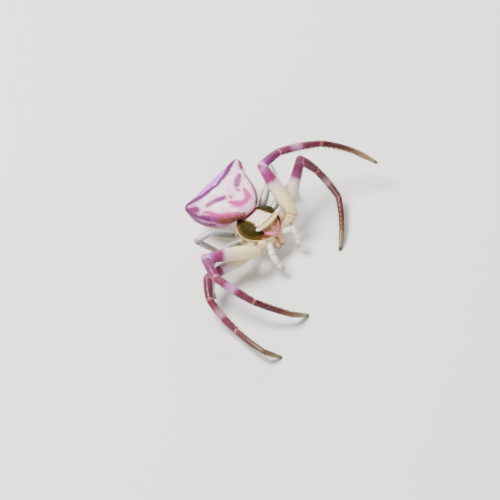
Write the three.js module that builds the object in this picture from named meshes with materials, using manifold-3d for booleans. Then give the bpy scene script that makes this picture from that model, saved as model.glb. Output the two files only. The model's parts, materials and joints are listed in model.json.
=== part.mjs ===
// A crab spider, adult female, as a still life-size model in an ambush pose.
// Millimetres, +Z up. The spider faces -Y and its left is +X. While it is built, x and y are measured from
// the middle of the eye ridge and z from the floor. The finished group is centred over its floor.

import * as THREE from 'three';
import { mergeVertices } from 'three/addons/utils/BufferGeometryUtils.js';
import { ParametricGeometry } from 'three/addons/geometries/ParametricGeometry.js';
import Module from 'manifold-3d';

const wasm = await Module();
wasm.setup();

// Space left between two pieces that meet
const GAP = 0.07;
// How far a face may move while slivers left by joins and cuts are cleaned away
const CLEANING = 0.006;
// How much slimmer a limb ends than the limb it is fused to starts
const FUSED = 0.92;

// Fineness of the rounded bodies, as facets around and along, and of limbs and their round ends
const ABDOMEN_FACETS = [36, 22];
const CARAPACE_FACETS = [28, 14];
const FINE = { sides: 10, steps: 5, cap: 3 };
const COARSE = { sides: 8, steps: 3, cap: 2 };

// Carapace: where it starts and ends, and its lower edge
const CARAPACE_FRONT = -0.82;
const CARAPACE_REAR = 2.38;
const CARAPACE_RIM = 1.98;
const CARAPACE_BLUNTNESS = 0.5;
const CARAPACE_SQUARENESS = 0.78;
// Share of its length, half width, height over the rim
const CARAPACE_STATIONS = [
  [0.00, 1.10, 0.70],
  [0.11, 1.34, 0.92],
  [0.25, 1.50, 1.10],
  [0.38, 1.65, 1.12],
  [0.50, 1.72, 1.08],
  [0.69, 1.62, 0.84],
  [0.84, 1.40, 0.46],
  [1.00, 1.00, 0.16],
];

// Ridge across the face that carries the eyes, and the horn at each of its ends
const RIDGE_HALF_SPAN = 0.85;
const RIDGE_RADIUS = 0.33;
const RIDGE_HEIGHT = 2.86;
const HORN_TIP = [1.32, -0.02, 3.19];
const HORN_ROOT = [0.55, 0.00, 2.80];
const HORN_ROOT_RADIUS = 0.34;
const HORN_TIP_RADIUS = 0.06;

// Eyes: name, the way from the head's middle to the left eye, and radius
const EYE_CENTRE = [0, 0.05, 2.62];
const EYES = [
  ['eye_front_middle', [0.30, -0.72, 0.12], 0.055],
  ['eye_front_side', [0.98, -0.30, 0.36], 0.075],
  ['eye_rear_middle', [0.47, -0.10, 0.51], 0.05],
  ['eye_rear_side', [1.10, 0.10, 0.52], 0.06],
];
const EYE_SINK = 0.35;

// Abdomen: a blunt triangle with a hump at each rear corner
const ABDOMEN_FRONT = 1.45;
const ABDOMEN_REAR = 5.48;
const ABDOMEN_BLUNTNESS = [0.55, 0.35];
const ABDOMEN_SQUARENESS = 0.80;
// Share of its length, half width, middle height, half height
const ABDOMEN_STATIONS = [
  [0.00, 1.45, 3.12, 0.45],
  [0.13, 1.68, 3.00, 0.68],
  [0.22, 1.92, 2.79, 0.92],
  [0.31, 2.14, 2.59, 1.13],
  [0.49, 2.43, 2.47, 1.26],
  [0.70, 2.72, 2.44, 1.33],
  [0.85, 2.94, 2.49, 1.29],
  [0.93, 2.90, 2.55, 1.20],
  [1.00, 2.60, 2.60, 1.00],
];
const HUMP_BASE = [2.45, 5.02, 3.20];
const HUMP_PUSH = [0.58, 0.24, 0.42];
const HUMP_SPREAD = 0.50;

// Chelicerae, one each side of the middle, and the fang folded under each
const CHELICERA_BASE = [0.32, -0.50, 2.05];
const CHELICERA_TIP = [0.25, -1.24, 1.28];
const CHELICERA_RADII = [0.33, 0.31, 0.20];
const FANG_TIP = [0.06, -1.14, 1.02];
const FANG_RADII = [0.09, 0.07, 0.03];

// Palps: the bends of each, from the mouth to the tip, and the radius there
const PALP_RADII = [0.20, 0.21, 0.22, 0.21, 0.12];
const PALPS = {
  left: [[0.52, -0.62, 1.62], [1.08, -1.42, 2.22], [1.14, -1.80, 1.90], [1.06, -2.02, 1.52], [0.90, -2.16, 1.00]],
  right: [[-0.52, -0.62, 1.62], [-1.30, -1.36, 1.98], [-1.58, -1.70, 1.86], [-1.60, -2.16, 1.42], [-1.42, -2.58, 0.84]],
};

// Breastplate, lip and the two mouth plates, as centre and radii
const STERNUM = [[0, 0.62, 1.62], [1.02, 1.30, 0.58]];
const LIP = [[0, -0.42, 1.40], [0.26, 0.34, 0.24]];
const MOUTH_PLATE = [[0.34, -0.48, 1.46], [0.24, 0.42, 0.32]];

// Waist
const PEDICEL_FROM = [0, 2.00, 1.66];
const PEDICEL_TO = [0, 3.10, 1.80];
const PEDICEL_RADIUS = 0.27;

// Spinnerets: their shared root, and the root and tip of the left one of each pair with its radius
const SPINNERET_ROOT = [[0, 5.06, 1.30], [0.30, 0.36, 0.34]];
const SPINNERETS = [
  [[0.17, 4.85, 1.55], [0.19, 5.20, 1.02], 0.15],
  [[0.10, 5.02, 1.66], [0.10, 5.32, 1.20], 0.10],
  [[0.20, 5.14, 1.78], [0.17, 5.50, 1.32], 0.14],
];

// Legs, front pair first. joint: where the trochanter starts. root: inner end of the coxa. lengths: trochanter,
// femur, patella, tibia, metatarsus, tarsus. ends: radius at each joint, from the coxa to the tip. bellies:
// greatest radius of each segment.
const LEG_PAIRS = [
  {
    joint: [1.55, -0.75, 1.95], root: [0.62, -0.10, 1.62], coxa: 0.38,
    lengths: [0.80, 4.00, 1.80, 3.20, 2.90, 1.75],
    ends: [0.34, 0.42, 0.35, 0.29, 0.25, 0.22, 0.12], bellies: [0.42, 0.53, 0.345, 0.31, 0.25, 0.225],
    bow: 1, grade: FINE,
  },
  {
    joint: [1.87, 0.19, 1.54], root: [0.66, 0.36, 1.50], coxa: 0.34,
    lengths: [0.78, 3.75, 1.70, 2.97, 2.72, 1.60],
    ends: [0.30, 0.36, 0.34, 0.27, 0.24, 0.21, 0.12], bellies: [0.36, 0.45, 0.34, 0.29, 0.24, 0.215],
    bow: 1, grade: FINE,
  },
  {
    joint: [1.65, 1.02, 1.50], root: [0.62, 0.80, 1.48], coxa: 0.27,
    lengths: [0.35, 1.80, 0.90, 1.30, 0.95, 0.75],
    ends: [0.23, 0.25, 0.24, 0.225, 0.21, 0.19, 0.11], bellies: [0.26, 0.30, 0.25, 0.24, 0.215, 0.195],
    bow: 0.4, grade: COARSE,
  },
  {
    joint: [1.33, 1.68, 1.50], root: [0.48, 1.12, 1.48], coxa: 0.27,
    lengths: [0.35, 2.10, 1.05, 1.60, 1.15, 0.85],
    ends: [0.23, 0.26, 0.245, 0.225, 0.21, 0.19, 0.11], bellies: [0.26, 0.32, 0.25, 0.24, 0.215, 0.195],
    bow: 0.4, grade: COARSE,
  },
];
const SEGMENTS = ['trochanter', 'femur', 'patella', 'tibia', 'metatarsus', 'tarsus'];
const BOWS = [0, 0.08, 0.03, 0.10, 0.10, 0.03];
const BELLY_AT = [0.60, 0.32, 0.45, 0.32, 0.14, 0.20];

// Pose of each leg: the azimuth and elevation of its segments in degrees. Azimuth 0 is straight ahead, 90 out
// to the leg's own side and 180 back. A leg with no last elevation comes down to the floor.
const POSES = {
  leg1_left: [[97, 46], [172, 37], [86, 0], [56, -3], [47, -27], [21, -22]],
  leg2_left: [[75, 27], [108, 49], [42, -46], [24, -55], [-48, -10], [-57]],
  leg3_left: [[98, 18], [98, 18], [98, -30], [100, -62], [125, -12], [140]],
  leg4_left: [[112, 20], [112, 20], [120, -15], [125, -50], [130, -22], [135]],
  leg1_right: [[84, 26], [121, 13], [28, -3], [-7, -13], [-36, -26], [-69]],
  leg2_right: [[73, -6], [98, 10], [46, -11], [10, -17], [8, 4], [-53]],
  leg3_right: [[98, 18], [98, 18], [96, -30], [85, -62], [50, -12], [20]],
  leg4_right: [[119, 28], [119, 28], [116, -20], [-60, -50], [-20, -25], [0]],
};
const TIP_HEIGHT = 0.08;

const FINISHES = {
  carapace: { color: 0x8a7a4c, roughness: 0.4 },
  sternum: { color: 0xe6dcc8, roughness: 0.5 },
  abdomen: { color: 0xe9cfe0, roughness: 0.6 },
  pedicel: { color: 0xd9c9a8, roughness: 0.5 },
  spinnerets: { color: 0xe3d6c4, roughness: 0.6 },
  chelicera: { color: 0xcfa878, roughness: 0.45 },
  palp: { color: 0xf0ebe0, roughness: 0.5 },
  eye: { color: 0x0c0a0a, roughness: 0.08 },
  femur: { color: 0xe9dfcc, roughness: 0.45 },
  patella: { color: 0xb04a78, roughness: 0.4 },
  tibia: { color: 0xb35468, roughness: 0.4 },
  metatarsus: { color: 0xa85a54, roughness: 0.45 },
  tarsus: { color: 0xc9b48e, roughness: 0.5 },
};

const UP = new THREE.Vector3(0, 0, 1);
const at = (list) => new THREE.Vector3(...list);
const sideOf = (side) => (side === 'left' ? 1 : -1);
const mirrored = (list, side) => at([list[0] * sideOf(side), list[1], list[2]]);

/** A closed geometry as a solid that can be joined and cut. */
function solidOf(geometry) {
  const bare = new THREE.BufferGeometry();
  bare.setAttribute('position', geometry.getAttribute('position').clone());
  if (geometry.index) bare.setIndex(geometry.index.clone());
  const merged = mergeVertices(bare, 1e-5);
  const corners = merged.index.array;
  const kept = [];
  for (let i = 0; i < corners.length; i += 3) {
    const [a, b, c] = [corners[i], corners[i + 1], corners[i + 2]];
    if (a !== b && b !== c && c !== a) kept.push(a, b, c);
  }
  return new wasm.Manifold(new wasm.Mesh({
    numProp: 3,
    vertProperties: Float32Array.from(merged.getAttribute('position').array),
    triVerts: Uint32Array.from(kept),
  }));
}

/** A solid's largest closed surface, cleaned of slivers, as a geometry. */
function geometryOf(solid) {
  const [largest] = solid.decompose().sort((a, b) => b.volume() - a.volume());
  const mesh = largest.simplify(CLEANING).getMesh();
  const geometry = new THREE.BufferGeometry();
  geometry.setAttribute('position', new THREE.BufferAttribute(Float32Array.from(mesh.vertProperties), 3));
  geometry.setIndex(Array.from(mesh.triVerts));
  geometry.computeVertexNormals();
  return geometry;
}

/** The same closed geometry, swollen all over by the gap that its neighbours keep. */
function swollen(geometry, by = GAP) {
  const bare = new THREE.BufferGeometry();
  bare.setAttribute('position', geometry.getAttribute('position').clone());
  if (geometry.index) bare.setIndex(geometry.index.clone());
  const merged = mergeVertices(bare, 1e-5);
  merged.computeVertexNormals();
  const places = merged.getAttribute('position');
  const normals = merged.getAttribute('normal');
  for (let i = 0; i < places.count; i += 1) {
    const normal = new THREE.Vector3().fromBufferAttribute(normals, i);
    const place = new THREE.Vector3().fromBufferAttribute(places, i).addScaledVector(normal, by);
    places.setXYZ(i, place.x, place.y, place.z);
  }
  return merged;
}

/** The named mesh of one piece. */
function pieceOf(name, finish, geometry) {
  const mesh = new THREE.Mesh(geometry, new THREE.MeshStandardMaterial({ metalness: 0, ...FINISHES[finish] }));
  mesh.name = name;
  return mesh;
}

/** Values of a table of stations at a share of the way along, smoothly. */
function alongStations(stations) {
  const width = stations[0].length - 1;
  const curve = new THREE.CubicInterpolant(
    stations.map((row) => row[0]),
    stations.flatMap((row) => row.slice(1)),
    width,
    new Float32Array(width),
  );
  return (share) => Array.from(curve.evaluate(share));
}

/** Keeps the sign and bends the size of a sine or cosine, for squarer or rounder sections. */
const squared = (value, power) => Math.sign(value) * Math.abs(value) ** power;

/** A turned limb along +Y from 0 to length, with round ends past both joints, bowed towards +X. */
function limbGeometry(length, [start, belly, end], bellyAt, bow, grade) {
  const { sides, steps, cap } = grade;
  const profile = [];
  for (let i = cap; i >= 1; i -= 1) {
    const angle = (i / cap) * (Math.PI / 2);
    profile.push(new THREE.Vector2(start * Math.cos(angle), -start * Math.sin(angle)));
  }
  profile[0].x = 0;
  for (let i = 0; i <= steps; i += 1) {
    const share = i / steps;
    const near = share < bellyAt;
    const away = near ? (bellyAt - share) / bellyAt : (share - bellyAt) / (1 - bellyAt);
    const edge = near ? start : end;
    profile.push(new THREE.Vector2(edge + (belly - edge) * Math.cos(away * Math.PI / 2), share * length));
  }
  for (let i = 1; i <= cap; i += 1) {
    const angle = (i / cap) * (Math.PI / 2);
    profile.push(new THREE.Vector2(end * Math.cos(angle), length + end * Math.sin(angle)));
  }
  profile[profile.length - 1].x = 0;
  const geometry = new THREE.LatheGeometry(profile, sides);
  const places = geometry.getAttribute('position');
  for (let i = 0; i < places.count; i += 1) {
    const share = THREE.MathUtils.clamp(places.getY(i) / length, 0, 1);
    places.setX(i, places.getX(i) + bow * Math.sin(share * Math.PI));
  }
  return geometry;
}

/** The turn that carries +Y along a direction and +X towards an outer side. */
function turnAlong(direction, outer) {
  const x = outer.clone().addScaledVector(direction, -outer.dot(direction)).normalize();
  const z = new THREE.Vector3().crossVectors(x, direction);
  return new THREE.Quaternion().setFromRotationMatrix(new THREE.Matrix4().makeBasis(x, direction, z));
}

/** A limb from one point to another, as a placed geometry. */
function limbBetween(from, to, radii, bellyAt = 0.45, grade = COARSE) {
  const span = to.clone().sub(from);
  const direction = span.clone().normalize();
  const geometry = limbGeometry(span.length(), radii, bellyAt, 0, grade);
  geometry.applyQuaternion(turnAlong(direction, UP));
  geometry.translate(from.x, from.y, from.z);
  return geometry;
}

/** An ellipsoid about a centre. */
function ellipsoid([centre, radii]) {
  const geometry = new THREE.SphereGeometry(1, 14, 9);
  geometry.scale(...radii);
  geometry.translate(...centre);
  return geometry;
}

/** The carapace's rounded shield, without the eye ridge. */
function shieldGeometry() {
  const station = alongStations(CARAPACE_STATIONS);
  const length = CARAPACE_REAR - CARAPACE_FRONT;
  const geometry = new ParametricGeometry((u, v, target) => {
    const share = (1 - Math.cos(v * Math.PI)) / 2;
    const rounding = Math.sin(v * Math.PI) ** CARAPACE_BLUNTNESS;
    const [halfWidth, height] = station(share);
    const around = -u * 2 * Math.PI;
    const x = halfWidth * rounding * squared(Math.cos(around), CARAPACE_SQUARENESS);
    const rise = height * rounding * squared(Math.sin(around), CARAPACE_SQUARENESS);
    target.set(x, CARAPACE_FRONT + share * length, CARAPACE_RIM + (rise > 0 ? rise : rise * 0.3));
  }, CARAPACE_FACETS[0], CARAPACE_FACETS[1]);
  return geometry;
}

/** The whole carapace: shield, eye ridge and horns, cut level along its rim. */
function carapaceSolid() {
  const ridge = limbBetween(
    at([-RIDGE_HALF_SPAN, 0, RIDGE_HEIGHT]),
    at([RIDGE_HALF_SPAN, 0, RIDGE_HEIGHT]),
    [RIDGE_RADIUS * 0.8, RIDGE_RADIUS, RIDGE_RADIUS * 0.8],
    0.5,
    FINE,
  );
  let solid = solidOf(shieldGeometry()).add(solidOf(ridge));
  for (const side of ['left', 'right']) {
    const radii = [HORN_ROOT_RADIUS, HORN_ROOT_RADIUS, HORN_TIP_RADIUS];
    const horn = limbBetween(mirrored(HORN_ROOT, side), mirrored(HORN_TIP, side), radii, 0.02, FINE);
    solid = solid.add(solidOf(horn));
  }
  return solid.trimByPlane([0, 0, 1], CARAPACE_RIM - 0.06);
}

/** Where a straight line from the head's middle leaves the carapace, and the way it points. */
function eyePlace(geometry, towards) {
  const direction = towards.clone().normalize();
  const mesh = new THREE.Mesh(geometry, new THREE.MeshBasicMaterial({ side: THREE.DoubleSide }));
  const hits = new THREE.Raycaster(at(EYE_CENTRE), direction).intersectObject(mesh);
  return [hits[hits.length - 1].point, direction];
}

/** Carapace and eyes, each eye in a socket of its own. */
function addHead(group) {
  let carapace = carapaceSolid();
  const bare = geometryOf(carapace);
  for (const [name, towards, radius] of EYES) {
    for (const side of ['left', 'right']) {
      const [surface, direction] = eyePlace(bare, mirrored(towards, side));
      const centre = surface.addScaledVector(direction, -radius * EYE_SINK);
      const eye = new THREE.IcosahedronGeometry(radius, 1);
      const socket = new THREE.IcosahedronGeometry(radius + GAP * 0.7, 1);
      socket.translate(centre.x, centre.y, centre.z);
      carapace = carapace.subtract(solidOf(socket));
      const mesh = pieceOf(`${name}_${side}`, 'eye', eye);
      mesh.position.copy(centre);
      group.add(mesh);
    }
  }
  group.add(pieceOf('carapace', 'carapace', geometryOf(carapace)));
  return carapace;
}

/** The abdomen with its two humps. */
function abdomenGeometry() {
  const station = alongStations(ABDOMEN_STATIONS);
  const length = ABDOMEN_REAR - ABDOMEN_FRONT;
  return new ParametricGeometry((u, v, target) => {
    const share = (1 - Math.cos(v * Math.PI)) / 2;
    const rounding = Math.sin(v * Math.PI) ** THREE.MathUtils.lerp(...ABDOMEN_BLUNTNESS, share);
    const [halfWidth, middle, halfHeight] = station(share);
    const around = -u * 2 * Math.PI;
    target.set(
      halfWidth * rounding * squared(Math.cos(around), ABDOMEN_SQUARENESS),
      ABDOMEN_FRONT + share * length,
      middle + halfHeight * rounding * squared(Math.sin(around), ABDOMEN_SQUARENESS),
    );
    const side = target.x < 0 ? 'right' : 'left';
    const distance = target.distanceTo(mirrored(HUMP_BASE, side));
    target.addScaledVector(mirrored(HUMP_PUSH, side), Math.exp(-((distance / HUMP_SPREAD) ** 2) / 2));
  }, ABDOMEN_FACETS[0], ABDOMEN_FACETS[1]);
}

/** A level or tilted cut through a joint: the unit way along the limb there, halfway between two pieces. */
const mitre = (before, after) => before.clone().add(after).normalize();

/** The part of a solid behind a joint's cut, half a gap short of it. */
function behindJoint(solid, joint, way) {
  const normal = way.clone().negate();
  return solid.trimByPlane(normal.toArray(), normal.dot(joint) + GAP / 2);
}

/** The part of a solid past a joint's cut, half a gap clear of it. */
const pastJoint = (solid, joint, way) => solid.trimByPlane(way.toArray(), way.dot(joint) + GAP / 2);

/** A unit direction from an azimuth and elevation in degrees, on the leg's own side. */
function directionOf([azimuth, elevation], side) {
  const [a, e] = [THREE.MathUtils.degToRad(azimuth), THREE.MathUtils.degToRad(elevation)];
  return at([Math.sin(a) * Math.cos(e) * sideOf(side), -Math.cos(a) * Math.cos(e), Math.sin(e)]);
}

/** A leg's joints and the directions of its segments, the last one brought down to the floor if it stands. */
function skeletonOf(pair, pose, side) {
  const joints = [mirrored(pair.joint, side)];
  const directions = [];
  pose.forEach(([azimuth, elevation], i) => {
    const from = joints[i];
    const drop = (TIP_HEIGHT - from.z) / pair.lengths[i];
    const angle = elevation ?? THREE.MathUtils.radToDeg(Math.asin(drop));
    directions.push(directionOf([azimuth, angle], side));
    joints.push(from.clone().addScaledVector(directions[i], pair.lengths[i]));
  });
  return { joints, directions };
}

/** One leg as five pieces about its first joint, its trochanter fused to the femur. */
function legGroup(name, pair, pose, side) {
  const { joints, directions } = skeletonOf(pair, pose, side);
  const coxaWay = joints[0].clone().sub(mirrored(pair.root, side)).normalize();
  const group = new THREE.Group();
  group.position.copy(joints[0]);
  const solids = SEGMENTS.map((segment, i) => {
    const before = i === 0 ? coxaWay : directions[i - 1];
    const after = directions[i + 1] ?? directions[i];
    const bend = before.clone().sub(after);
    const radii = [pair.ends[i], pair.bellies[i], pair.ends[i + 1] * (segment === 'trochanter' ? FUSED : 1)];
    const geometry = limbGeometry(pair.lengths[i], radii, BELLY_AT[i], pair.bow * BOWS[i], pair.grade);
    geometry.applyQuaternion(turnAlong(directions[i], bend.lengthSq() > 0.01 ? bend : UP));
    let solid = solidOf(geometry);
    if (segment !== 'femur') solid = pastJoint(solid, new THREE.Vector3(), mitre(before, directions[i]));
    if (segment !== 'trochanter' && segment !== 'tarsus') {
      solid = behindJoint(solid, joints[i + 1].clone().sub(joints[i]), mitre(directions[i], after));
    }
    return solid.trimByPlane([0, 0, 1], -joints[i].z);
  });
  const start = joints[0].clone().sub(joints[1]).toArray();
  solids[1] = solids[1].add(solids[0].translate(start));
  SEGMENTS.slice(1).forEach((segment, i) => {
    const mesh = pieceOf(`${name}_${segment}`, segment, geometryOf(solids[i + 1]));
    mesh.position.copy(joints[i + 1]).sub(joints[0]);
    group.add(mesh);
  });
  return group;
}

/** The coxa of a leg, cut off at the trochanter. */
function coxaSolid(pair, pose, side) {
  const { joints, directions } = skeletonOf(pair, pose, side);
  const root = mirrored(pair.root, side);
  const way = joints[0].clone().sub(root).normalize();
  const radii = [pair.coxa * 0.9, pair.coxa, pair.ends[0]];
  const coxa = solidOf(limbBetween(root, joints[0], radii, 0.5));
  return behindJoint(coxa, joints[0], mitre(way, directions[0]));
}

/** The two chelicerae, cut clear of the carapace and of each other. */
function cheliceraSolid(side, carapace) {
  const base = mirrored(CHELICERA_BASE, side);
  const tip = mirrored(CHELICERA_TIP, side);
  const fang = limbBetween(tip, mirrored(FANG_TIP, side), FANG_RADII, 0.2);
  return solidOf(limbBetween(base, tip, CHELICERA_RADII, 0.35))
    .add(solidOf(fang))
    .subtract(carapace)
    .trimByPlane([sideOf(side), 0, 0], GAP / 2);
}

/** One palp, its four segments fused. */
function palpSolid(side) {
  const bends = PALPS[side].map(at);
  return wasm.Manifold.union(bends.slice(1).map((bend, i) => {
    const belly = Math.max(PALP_RADII[i], PALP_RADII[i + 1]) * 1.04;
    const radii = [PALP_RADII[i], belly, PALP_RADII[i + 1] * FUSED];
    return solidOf(limbBetween(bends[i], bend, radii));
  }));
}

/** Breastplate, lip, mouth plates and the eight coxae in one body. */
function sternumSolid() {
  const plates = [ellipsoid(STERNUM), ellipsoid(LIP)];
  for (const side of ['left', 'right']) {
    const plate = ellipsoid([mirrored(MOUTH_PLATE[0], side).toArray(), MOUTH_PLATE[1]]);
    plates.push(plate);
  }
  const coxae = Object.entries(POSES).map(([name, pose]) => {
    const pair = LEG_PAIRS[Number(name[3]) - 1];
    return coxaSolid(pair, pose, name.split('_')[1]);
  });
  return wasm.Manifold.union([...plates.map(solidOf), ...coxae]);
}

/** The spinnerets, fused to one short root. */
function spinneretSolid() {
  const cones = ['left', 'right'].flatMap((side) => SPINNERETS.map(([root, tip, radius]) => (
    solidOf(limbBetween(mirrored(root, side), mirrored(tip, side), [radius, radius, radius * 0.6]))
  )));
  return wasm.Manifold.union([solidOf(ellipsoid(SPINNERET_ROOT)), ...cones]);
}

/** The whole spider over the floor. */
function buildSpider() {
  const spider = new THREE.Group();
  const carapace = addHead(spider);
  const abdomen = abdomenGeometry();
  const roomAroundCarapace = solidOf(swollen(geometryOf(carapaceSolid())));
  const roomAroundAbdomen = solidOf(swollen(abdomen));
  spider.add(pieceOf('abdomen', 'abdomen', geometryOf(solidOf(abdomen))));

  let sternum = sternumSolid().subtract(roomAroundCarapace);
  for (const side of ['left', 'right']) {
    const chelicera = geometryOf(cheliceraSolid(side, roomAroundCarapace));
    const palp = geometryOf(palpSolid(side).subtract(solidOf(swollen(chelicera))).subtract(roomAroundCarapace));
    sternum = sternum.subtract(solidOf(swollen(chelicera))).subtract(solidOf(swollen(palp)));
    spider.add(pieceOf(`chelicera_${side}`, 'chelicera', chelicera));
    spider.add(pieceOf(`palp_${side}`, 'palp', palp));
  }
  const sternumGeometry = geometryOf(sternum);
  spider.add(pieceOf('sternum', 'sternum', sternumGeometry));

  const radii = [PEDICEL_RADIUS, PEDICEL_RADIUS, PEDICEL_RADIUS];
  const pedicel = solidOf(limbBetween(at(PEDICEL_FROM), at(PEDICEL_TO), radii))
    .subtract(roomAroundAbdomen)
    .subtract(roomAroundCarapace)
    .subtract(solidOf(swollen(sternumGeometry)));
  spider.add(pieceOf('pedicel', 'pedicel', geometryOf(pedicel)));
  spider.add(pieceOf('spinnerets', 'spinnerets', geometryOf(spinneretSolid().subtract(roomAroundAbdomen))));

  for (const [name, pose] of Object.entries(POSES)) {
    const pair = LEG_PAIRS[Number(name[3]) - 1];
    spider.add(legGroup(name, pair, pose, name.split('_')[1]));
  }
  const box = new THREE.Box3().setFromObject(spider);
  const centre = box.getCenter(new THREE.Vector3());
  spider.position.set(-centre.x, -centre.y, 0);
  return spider;
}

export default buildSpider();
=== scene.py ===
"""A crab spider, adult female, life size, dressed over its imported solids.

The solids give every place. The skin, the shield over the head and thorax, the eyes, fangs, claws and hairs
are modelled here in millimetres, in the body's own frame: x to the spider's left and y back from the middle
of its eye ridge, z up from the floor. Each finished piece is then moved and scaled into the part's frame.
"""

from __future__ import annotations

import json
import logging
import math
from collections.abc import Callable
from dataclasses import astuple, dataclass, field, replace
from enum import Enum
from functools import partial

import bpy
import numpy as np
from bpy.types import ID, Material, NodeSocket, NodeTree, Object, bpy_prop_collection
from mathutils import Matrix, Vector
from mathutils.bvhtree import BVHTree

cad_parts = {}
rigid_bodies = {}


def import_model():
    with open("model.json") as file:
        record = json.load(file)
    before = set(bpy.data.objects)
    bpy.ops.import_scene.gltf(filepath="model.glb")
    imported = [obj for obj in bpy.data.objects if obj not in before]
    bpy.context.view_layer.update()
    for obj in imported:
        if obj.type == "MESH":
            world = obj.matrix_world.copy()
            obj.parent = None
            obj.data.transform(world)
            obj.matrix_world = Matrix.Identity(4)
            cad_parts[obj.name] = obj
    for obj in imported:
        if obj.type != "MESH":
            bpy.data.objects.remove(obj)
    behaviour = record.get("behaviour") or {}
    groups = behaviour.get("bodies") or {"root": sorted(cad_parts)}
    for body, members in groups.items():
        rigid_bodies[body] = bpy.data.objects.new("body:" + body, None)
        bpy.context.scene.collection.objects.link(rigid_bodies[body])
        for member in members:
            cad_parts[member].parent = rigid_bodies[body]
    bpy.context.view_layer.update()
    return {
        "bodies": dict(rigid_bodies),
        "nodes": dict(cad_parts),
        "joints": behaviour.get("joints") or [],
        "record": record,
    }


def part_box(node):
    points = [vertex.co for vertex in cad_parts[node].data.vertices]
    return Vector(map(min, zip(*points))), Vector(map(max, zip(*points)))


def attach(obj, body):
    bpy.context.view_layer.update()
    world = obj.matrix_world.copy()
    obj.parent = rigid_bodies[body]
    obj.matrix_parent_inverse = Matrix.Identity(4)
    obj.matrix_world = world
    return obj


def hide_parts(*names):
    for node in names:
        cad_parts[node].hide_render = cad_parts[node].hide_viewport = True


LOG = logging.getLogger("crab_spider")
Array = np.ndarray
Place = tuple[float, float, float]
Row = tuple[float, ...]
# Metres in a millimetre, and the shield's foremost y in the body's frame
LIFE_SIZE = 0.001
CARAPACE_FRONT = -0.82
# In millimetres: how far the feet stay off the floor, and the faces of the skin and shield
FLOOR_CLEARANCE = 0.004
SKIN_VOXEL = 0.0595
SHIELD_VOXEL = 0.036
# How much thinner a limb is than its radii, as the skin around it adds a little
INSIDE = 0.965
RELIEF_LEVELS = 50
FAR = 1e9
TINY = 1e-6
UP = Vector((0, 0, 1))
FINER = {"levels": 1, "render_levels": 1}


class Region(Enum):
    """The regions of the skin, in the order of its material slots."""

    ABDOMEN = 0
    WAIST = 1
    BREAST = 2
    CHELICERA = 3
    PALP = 4
    FRONT_LEG = 5
    SECOND_LEG = 6
    HIND_LEG = 7


class Side(Enum):
    """The two sides of the body, as the sign of x."""

    LEFT = 1
    RIGHT = -1

    def mirror(self, place: Row) -> Vector:
        """Gives a place or direction of the left side as it is on this side."""
        return Vector(place) * Vector((self.value, 1, 1))


def smoothstep(low: float, high: float, value: Array) -> Array:
    """Rises smoothly from 0 at low to 1 at high."""
    share = np.clip((value - low) / (high - low), 0.0, 1.0)
    return share * share * (3.0 - 2.0 * share)


def bell(away: Array, width: float | Array) -> Array:
    """Falls smoothly from 1 where nothing is away towards 0 at twice the width."""
    return np.exp(-((away / width) ** 2))


def along_stations(stations: list[Row], share: float) -> Row:
    """Reads a table of stations smoothly at a share of the way along.

    Args:
        stations: rows of a share followed by values.
        share: how far along, from 0 to 1.

    Returns:
        The values there.
    """
    table = np.array(stations, float)
    places, values = table[:, 0], table[:, 1:]
    slopes = np.gradient(values, places, axis=0)
    i = int(np.clip(np.searchsorted(places, share) - 1, 0, len(places) - 2))
    width = places[i + 1] - places[i]
    t = (share - places[i]) / width
    found = (2 * t**3 - 3 * t**2 + 1) * values[i] + (t**3 - 2 * t**2 + t) * width * slopes[i]
    found += (-2 * t**3 + 3 * t**2) * values[i + 1] + (t**3 - t**2) * width * slopes[i + 1]
    return tuple(float(v) for v in found)


def srgb(code: str) -> tuple[float, float, float, float]:
    """Turns an sRGB hex value into a linear colour.

    Args:
        code: six hex digits with a leading hash.

    Returns:
        Linear red, green, blue and an alpha of 1.
    """
    parts = [int(code[i : i + 2], 16) / 255 for i in (1, 3, 5)]
    linear = [c / 12.92 if c <= 0.04045 else ((c + 0.055) / 1.055) ** 2.4 for c in parts]
    return (linear[0], linear[1], linear[2], 1.0)


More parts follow.
